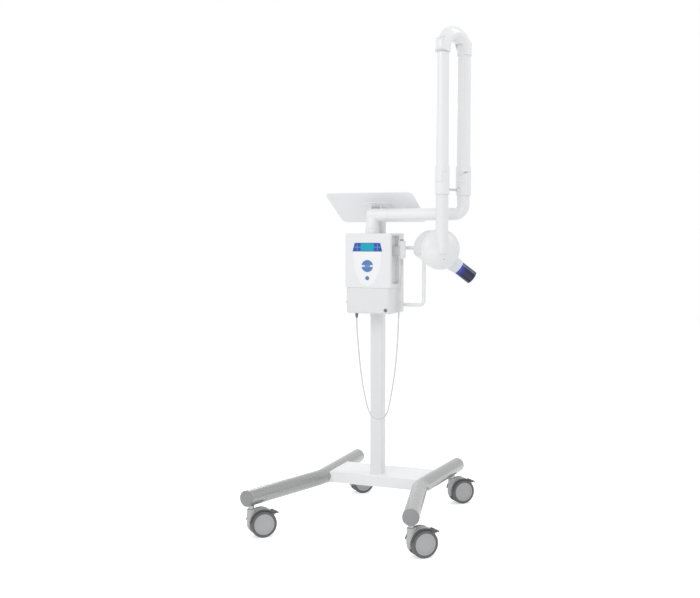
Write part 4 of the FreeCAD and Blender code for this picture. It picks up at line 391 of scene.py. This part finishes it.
pan_powder = coated("pan_powder", grey(248), grey(243), 0.42, grain=900, height=0.10)
finish_with(pan_powder, "base_plate")
zinc_plate = coated(
    "zinc_plate", grey(186), grey(160), 0.32, spread=0.2, grain=500, height=0.06, cloud_scale=60, metal=0.85,
)
bolt = turned("bolt", [(0.0105, 0), (0.0105, 0.0012), (0.0100, 0.0016), (0.0080, 0.0016), (0.0080, 0.0017)])
head = hexagon(0.017, 0.0016, 0.0080)
bpy.ops.object.select_all(action="DESELECT")
head.select_set(True)
bpy.context.view_layer.objects.active = head
crown = head.modifiers.new("crown", "BEVEL")
crown.width = 0.0012
crown.segments = 2
crown.limit_method = "ANGLE"
bpy.ops.object.modifier_apply(modifier="crown")
bolt.select_set(True)
bpy.context.view_layer.objects.active = bolt
bpy.ops.object.join()
column_low, column_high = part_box("column")
column_x, column_y = (column_low.x + column_high.x) / 2, (column_low.y + column_high.y) / 2
seats = []
for side in (-0.036, 0.036):
    for end in (-0.036, 0.036):
        under = (column_x + side, column_y + end, 0.02)
        seats.append((surface_at("base_plate", under, (0, 0, 1))[0], (0, 0, -1)))
copies_at(bolt, "column_foot_bolts", seats, zinc_plate, "stand")


# The column: square steel tube in a light grey powder coat, bolted through the pan's top.
column_powder = coated("column_powder", grey(237), grey(232), 0.40, grain=900, height=0.10)
finish_with(column_powder, "column")


# Castors: a light grey nylon housing whose hood has a dark soft rim beside each wheel, zinc-plated stems,
# wheels with a plain grey disc in a dark tread, and dark brake pedals.
def make_axle_group():
    """How far a point lies from an axle, and how far along it from the middle, in object space."""
    group = bpy.data.node_groups.new("axle_distance", "ShaderNodeTree")
    face = group.interface
    face.new_socket("Middle", in_out="INPUT", socket_type="NodeSocketVector")
    face.new_socket("Axle", in_out="INPUT", socket_type="NodeSocketVector")
    face.new_socket("Radius", in_out="OUTPUT", socket_type="NodeSocketFloat")
    face.new_socket("Along", in_out="OUTPUT", socket_type="NodeSocketFloat")
    make = group.nodes.new
    link = group.links.new
    given = make("NodeGroupInput")
    made = make("NodeGroupOutput")
    place = make("ShaderNodeTexCoord")
    offset = make("ShaderNodeVectorMath")
    offset.operation = "SUBTRACT"
    link(place.outputs["Object"], offset.inputs[0])
    link(given.outputs["Middle"], offset.inputs[1])
    across = make("ShaderNodeVectorMath")
    across.operation = "CROSS_PRODUCT"
    link(offset.outputs["Vector"], across.inputs[0])
    link(given.outputs["Axle"], across.inputs[1])
    length = make("ShaderNodeVectorMath")
    length.operation = "LENGTH"
    link(across.outputs["Vector"], length.inputs[0])
    link(length.outputs["Value"], made.inputs["Radius"])
    along = make("ShaderNodeVectorMath")
    along.operation = "DOT_PRODUCT"
    link(offset.outputs["Vector"], along.inputs[0])
    link(given.outputs["Axle"], along.inputs[1])
    link(along.outputs["Value"], made.inputs["Along"])
    return group


axle_distance = make_axle_group()


def about_axle(material, middle, axle):
    """The distance from an axle and along it, as two values in a material."""
    node = material.node_tree.nodes.new("ShaderNodeGroup")
    node.node_tree = axle_distance
    node.inputs["Middle"].default_value = middle
    node.inputs["Axle"].default_value = axle
    return node.outputs["Radius"], node.outputs["Along"]


def step_up(material, value, low, high):
    """0 below one value and 1 above another, smooth between them."""
    step = material.node_tree.nodes.new("ShaderNodeMapRange")
    step.interpolation_type = "SMOOTHSTEP"
    step.inputs["From Min"].default_value = low
    step.inputs["From Max"].default_value = high
    material.node_tree.links.new(value, step.inputs["Value"])
    return step.outputs["Result"]


def reckon(material, operation, first, second=0.0):
    """One step of arithmetic in a material, on sockets or plain numbers."""
    step = material.node_tree.nodes.new("ShaderNodeMath")
    step.operation = operation
    for socket, value in zip(step.inputs, (first, second)):
        if isinstance(value, float):
            socket.default_value = value
        else:
            material.node_tree.links.new(value, socket)
    return step.outputs["Value"]


def paint_over(material, mask, colour):
    """Lays another colour over a material where a mask is 1."""
    tree = material.node_tree
    base = tree.nodes["Principled BSDF"].inputs["Base Color"]
    under = base.links[0].from_socket
    blend = tree.nodes.new("ShaderNodeMix")
    blend.data_type = "RGBA"
    blend.inputs["B"].default_value = colour
    tree.links.new(mask, blend.inputs["Factor"])
    tree.links.new(under, blend.inputs["A"])
    tree.links.new(blend.outputs["Result"], base)


def groove(material, value, place, half_width, strength=0.5):
    """A shallow moulded groove where a value passes a given place."""
    tree = material.node_tree
    far = reckon(material, "ABSOLUTE", reckon(material, "SUBTRACT", value, place))
    bump = tree.nodes.new("ShaderNodeBump")
    bump.inputs["Strength"].default_value = strength
    bump.inputs["Distance"].default_value = 0.0008
    tree.links.new(step_up(material, far, half_width * 0.5, half_width), bump.inputs["Height"])
    normal = tree.nodes["Principled BSDF"].inputs["Normal"]
    tree.links.new(normal.links[0].from_socket, bump.inputs["Normal"])
    tree.links.new(bump.outputs["Normal"], normal)


corners = ("front_left", "front_right", "rear_left", "rear_right")
for corner in corners:
    outer_low, outer_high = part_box("castor_" + corner + "_wheel_outer")
    inner_low, inner_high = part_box("castor_" + corner + "_wheel_inner")
    outer_middle, inner_middle = (outer_low + outer_high) / 2, (inner_low + inner_high) / 2
    middle, axle = (outer_middle + inner_middle) / 2, (outer_middle - inner_middle).normalized()
    housing = coated("castor_nylon_" + corner, grey(190), grey(182), 0.5, grain=1200, height=0.1)
    radius, along = about_axle(housing, middle, axle)
    rim = step_up(housing, radius, 0.0500, 0.0508)
    beside = step_up(housing, reckon(housing, "ABSOLUTE", along), 0.0175, 0.0182)
    paint_over(housing, reckon(housing, "MULTIPLY", rim, beside), grey(82))
    groove(housing, reckon(housing, "ABSOLUTE", along), 0.0178, 0.0007)
    finish_with(housing, "castor_" + corner + "_housing")
    wheel = coated("castor_wheel_" + corner, grey(184), grey(176), 0.45, grain=1200, height=0.1)
    radius, along = about_axle(wheel, middle, axle)
    paint_over(wheel, step_up(wheel, radius, 0.0380, 0.0388), grey(98))
    groove(wheel, radius, 0.0290, 0.0007)
    groove(wheel, radius, 0.0110, 0.0006)
    finish_with(wheel, "castor_" + corner + "_wheel_outer", "castor_" + corner + "_wheel_inner")

pedal_plastic = coated("pedal_plastic", grey(98), grey(90), 0.5, grain=1200, height=0.1)
finish_with(zinc_plate, "castor_stems")
for corner in corners:
    finish_with(pedal_plastic, "castor_" + corner + "_pedal")


# The tray and its bracket: sheet steel, powder coated light grey, the tray with well rounded corners and held
# by four button-head screws from above.
def button_screw(radius):
    """A domed screw head with a hexagon socket, its seat at the origin and its top along Z."""
    tall = radius * 0.55
    head = turned("screw", [
        (radius, 0), (radius, tall * 0.25), (radius * 0.95, tall * 0.5), (radius * 0.83, tall * 0.75),
        (radius * 0.62, tall * 0.93), (radius * 0.4, tall),
    ], 32)
    cut_by(head, hexagon(radius * 0.95, tall * 0.25, tall * 1.5))
    return head


tray_powder = coated("tray_powder", grey(249, 0.012), grey(243, 0.012), 0.45, grain=900, height=0.12)
finish_with(tray_powder, "tray", "tray_bracket")
bracket_low, bracket_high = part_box("tray_bracket")
middle = (bracket_low + bracket_high) / 2
seats = []
for side in (-0.042, 0.042):
    for end in (-0.026, 0.026):
        seats.append(surface_at("tray", (middle.x + side, middle.y + end, 1.5), (0, 0, -1)))
copies_at(button_screw(0.0048), "tray_screws", seats, zinc_plate, "stand")


# The control box: two moulded white covers in front and a rear tub, all with a fine spark-eroded skin.
# Screws hold the tub to the column and the covers to the tub, and two domed pegs show at the covers' left side.
box_plastic = coated("box_plastic", grey(240), grey(236), 0.45, grain=1600, height=0.14)
lower_plastic = coated("lower_plastic", grey(234), grey(230), 0.45, grain=1600, height=0.14)
tub_plastic = coated("tub_plastic", grey(232), grey(227), 0.5, grain=1600, height=0.14)
finish_with(box_plastic, "box_front_cover")
finish_with(lower_plastic, "box_lower_cover")
finish_with(tub_plastic, "box_back")
box_low, box_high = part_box("box_back")
seats = []
for side in (box_low.x + 0.012, box_high.x - 0.012):
    for level in (box_low.z + 0.020, box_high.z - 0.020):
        seats.append(surface_at("box_back", (side, 0.4, level), (0, -1, 0)))
    seats.append(surface_at("box_back", (side + math.copysign(0.012, -side), 0.030, 0.6), (0, 0, 1)))
copies_at(button_screw(0.0036), "box_screws", seats, zinc_plate, "stand")
peg = turned("peg", [(0.0052, 0), (0.0052, 0.0022), (0.0048, 0.0032), (0.0038, 0.0040), (0.0020, 0.0044)], 32)
seats = []
for level in (0.860, 1.052):
    node = "box_lower_cover" if level < 0.917 else "box_front_cover"
    seats.append(surface_at(node, (-0.4, -0.040, level), (1, 0, 0)))
copies_at(peg, "cover_pegs", seats, box_plastic, "stand")


# Inside the box, out of sight: the lacquered control board on the cover's bosses, the power module in its dark
# metal case on the tub's rear wall, and the powder coated steel bracket on the column that the arm turns in.
board_lacquer = coated("board_lacquer", (0.02, 0.16, 0.06, 1), (0.03, 0.2, 0.08, 1), 0.35)
module_black = coated("module_black", grey(70), grey(60), 0.45, metal=0.4)
bracket_steel = coated("bracket_steel", grey(244), grey(239), 0.42, grain=900, height=0.1)
finish_with(board_lacquer, "control_board")
finish_with(module_black, "power_module")
finish_with(bracket_steel, "arm_bracket")


# The keypad: a moulded white shield with four blue rubber keys, and the display window above it, whose blue
# side fields and pale green middle are printed behind the clear plastic.
shield_plastic = coated("shield_plastic", grey(248), grey(244), 0.34, grain=2000, height=0.04, coat=0.2)
finish_with(shield_plastic, "keypad_panel")
key_rubber = coated("key_rubber", (0.085, 0.20, 0.50, 1), (0.10, 0.23, 0.54, 1), 0.45, grain=2000, height=0.05)
finish_with(key_rubber, "key_up", "key_down", "key_lamp")
select_rubber = coated("select_rubber", (0.12, 0.25, 0.53, 1), (0.14, 0.28, 0.57, 1), 0.45, grain=2000, height=0.05)
finish_with(select_rubber, "key_select")
display_print = coated(
    "display_print", (0.0, 0.36, 0.53, 1), (0.01, 0.43, 0.56, 1), 0.12, grain=40, height=0.0, cloud_scale=25,
)
window_low, window_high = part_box("display_window")
window_x, window_z = (window_low.x + window_high.x) / 2, (window_low.z + window_high.z) / 2
display_tree = display_print.node_tree
spot = display_tree.nodes.new("ShaderNodeTexCoord")
parts = display_tree.nodes.new("ShaderNodeSeparateXYZ")
display_tree.links.new(spot.outputs["Object"], parts.inputs["Vector"])
side = reckon(display_print, "ABSOLUTE", reckon(display_print, "SUBTRACT", parts.outputs["X"], window_x))
height = reckon(display_print, "SUBTRACT", parts.outputs["Z"], window_z)
level = reckon(display_print, "ABSOLUTE", height)
fields = step_up(display_print, side, 0.0268, 0.0276)
paint_over(display_print, fields, (0.035, 0.10, 0.44, 1))
bar = reckon(display_print, "ABSOLUTE", reckon(display_print, "SUBTRACT", side, 0.0420))
nearest_line = reckon(display_print, "MINIMUM", bar, level)
lines = reckon(display_print, "SUBTRACT", 1.0, step_up(display_print, nearest_line, 0.0008, 0.0014))
paint_over(display_print, reckon(display_print, "MULTIPLY", lines, fields), (0.20, 0.36, 0.72, 1))
slant = reckon(display_print, "MULTIPLY", height, 0.277)
edge = reckon(display_print, "MAXIMUM", reckon(display_print, "SUBTRACT", level, 0.0138),
              reckon(display_print, "SUBTRACT", reckon(display_print, "ADD", side, slant), 0.0540))
paint_over(display_print, step_up(display_print, edge, 0.0, 0.0008), (0.045, 0.115, 0.42, 1))
display_print.node_tree.nodes["Principled BSDF"].inputs["Specular IOR Level"].default_value = 0.3
finish_with(display_print, "display_window")


# The mains key, the strain relief and the hand switch: moulded ABS, the switch white with a grey button and a
# ribbed bushing where its cord goes in, its holder a light grey clip screwed in the box's side.
mains_grey = coated("mains_grey", grey(128, 0.05), grey(118, 0.05), 0.35, grain=1500, height=0.08)
finish_with(mains_grey, "mains_key")
gland_grey = coated("gland_grey", grey(112), grey(102), 0.45, grain=1500, height=0.1)
finish_with(gland_grey, "cord_gland")
switch_plastic = coated("switch_plastic", grey(240), grey(235), 0.4, grain=1800, height=0.08)
finish_with(switch_plastic, "handset")
holder_plastic = coated("holder_plastic", grey(214), grey(206), 0.45, grain=1500, height=0.1)
finish_with(holder_plastic, "handset_holder")
button_grey = coated("button_grey", grey(150), grey(142), 0.4, grain=1500, height=0.1)
finish_with(button_grey, "handset_button")
handset_low, handset_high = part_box("handset")
ribs = [(0.0058, 0), (0.0058, 0.0022)]
for ring in range(4):
    top = 0.0022 + ring * 0.0040
    ribs += [
        (0.0044, top + 0.0004), (0.0044, top + 0.0018),
        (0.0056 - ring * 0.0003, top + 0.0022), (0.0055 - ring * 0.0003, top + 0.0040),
    ]
ribs += [(0.0040, 0.0190), (0.0036, 0.0200)]
bushing = turned("bushing", ribs, 32)
seat = Vector((cord_path[-1][0], cord_path[-1][1], handset_low.z + 0.0015))
copies_at(bushing, "handset_bushing", [(seat, (0, 0, -1))], holder_plastic, "handset")


# The push handle: a bent steel tube, 14.5 mm across, powder coated light grey, with a collar at each foot.
handle_powder = coated("handle_powder", grey(242), grey(237), 0.38, grain=900, height=0.08)
finish_with(handle_powder, "push_handle")


# The arm: aluminium and steel tube and cast joints, all in one white semi-gloss enamel with faint orange peel,
# balance springs inside, and a plated link that ties the two sleeves together for moving the unit.
arm_enamel = coated("arm_enamel", grey(243), grey(240), 0.32, grain=350, height=0.05, coat=0.2)
finish_with(
    arm_enamel, "extension_elbow", "extension_arm", "shoulder_fork", "lower_arm", "knuckle_lower_half",
    "knuckle_outer_half", "outer_arm", "wrist_fork",
)
spring_steel = coated("spring_steel", grey(150), grey(130), 0.35, metal=0.9)
finish_with(spring_steel, "lower_arm_spring", "outer_arm_spring")
link_zinc = coated("link_zinc", grey(214), grey(200), 0.35, metal=0.4)
finish_with(link_zinc, "transport_link")


# The tube head: a cast yoke and disc, a white moulded housing of two parts, and the sealed tank inside.
# A thin grey line is let in the disc's dome, with a small screw below it.
head_plastic = coated("head_plastic", grey(240), grey(236), 0.36, grain=1800, height=0.06, coat=0.15)
finish_with(head_plastic, "head_yoke", "head_housing", "head_cover")
tank_steel = coated("tank_steel", grey(180), grey(170), 0.35, metal=0.8)
finish_with(tank_steel, "tube_tank")
inlay_grey = coated("inlay_grey", grey(206), grey(198), 0.4, grain=1500, height=0.06)
head_turn = math.radians(38)
disc_front = Vector((math.sin(head_turn), -math.cos(head_turn), 0))
disc_side = Vector((math.cos(head_turn), math.sin(head_turn), 0))
head_middle = Vector((0.2935, -0.1120, 1.067))


def on_disc(side, level):
    """A point on the disc's dome and the way it faces, from a place beside and above the tilt axis."""
    start = head_middle + disc_side * side + Vector((0, 0, level)) + disc_front * 0.3
    return surface_at("head_yoke", start, -disc_front)


inlay_middle, inlay_facing = on_disc(0.0, -0.020)
bpy.ops.object.select_all(action="DESELECT")
bpy.ops.mesh.primitive_plane_add(
    size=1, location=inlay_middle + disc_front * 0.002, rotation=(math.radians(90), 0, head_turn)
)
inlay = bpy.context.object
inlay.name = "disc_inlay"
inlay.scale = (0.030, 0.0014, 1)
bpy.ops.object.transform_apply(location=True, rotation=True, scale=True)
bpy.ops.object.mode_set(mode="EDIT")
bpy.ops.mesh.select_all(action="SELECT")
bpy.ops.mesh.subdivide(number_cuts=11)
bpy.ops.object.mode_set(mode="OBJECT")
wrap = inlay.modifiers.new("wrap", "SHRINKWRAP")
wrap.target = nodes["head_yoke"]
bpy.ops.object.modifier_apply(modifier="wrap")
strip = inlay.modifiers.new("strip", "SOLIDIFY")
strip.thickness = 0.0004
strip.offset = 0
bpy.ops.object.modifier_apply(modifier="strip")
inlay.data.materials.append(inlay_grey)
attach(inlay, "yoke")
copies_at(button_screw(0.0024), "disc_screw", [on_disc(0.004, -0.036)], zinc_plate, "yoke")
seats = []
for side in (-0.034, 0.034):
    for level in (-0.034, 0.034):
        start = head_middle + disc_side * side + Vector((0, 0, level)) - disc_front * 0.4
        seats.append(surface_at("head_housing", start, disc_front))
copies_at(button_screw(0.0034), "head_screws", seats, zinc_plate, "head")


# The neck and the cone: a white collimator ring, and an open cone of deep blue acrylic, with a painted glow of
# bright blue light laid on the cone where it meets the ring.
neck_plastic = coated("neck_plastic", grey(236, 0.05), grey(230, 0.05), 0.3, grain=1800, height=0.05, coat=0.2)
finish_with(neck_plastic, "beam_neck")
cone_low, cone_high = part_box("beam_cone")
beam = Vector((0.6375, 0.4981, -0.5878))
cone_acrylic = coated(
    "cone_acrylic", (0.006, 0.005, 0.040, 1), (0.014, 0.012, 0.085, 1), 0.12, grain=300, height=0.01,
    cloud_scale=45, coat=0.4,
)
along = about_axle(cone_acrylic, (cone_low + cone_high) / 2, beam)[1]
# Painted light: a bright blue glow is laid on the cone's colour along its first few centimetres from the ring.
painted_glow_mask = reckon(cone_acrylic, "SUBTRACT", 1.0, step_up(cone_acrylic, along, -0.030, -0.002))
paint_over(cone_acrylic, painted_glow_mask, (0.045, 0.060, 0.52, 1))
cone_acrylic.node_tree.nodes["Principled BSDF"].inputs["Specular IOR Level"].default_value = 0.35
finish_with(cone_acrylic, "beam_cone")
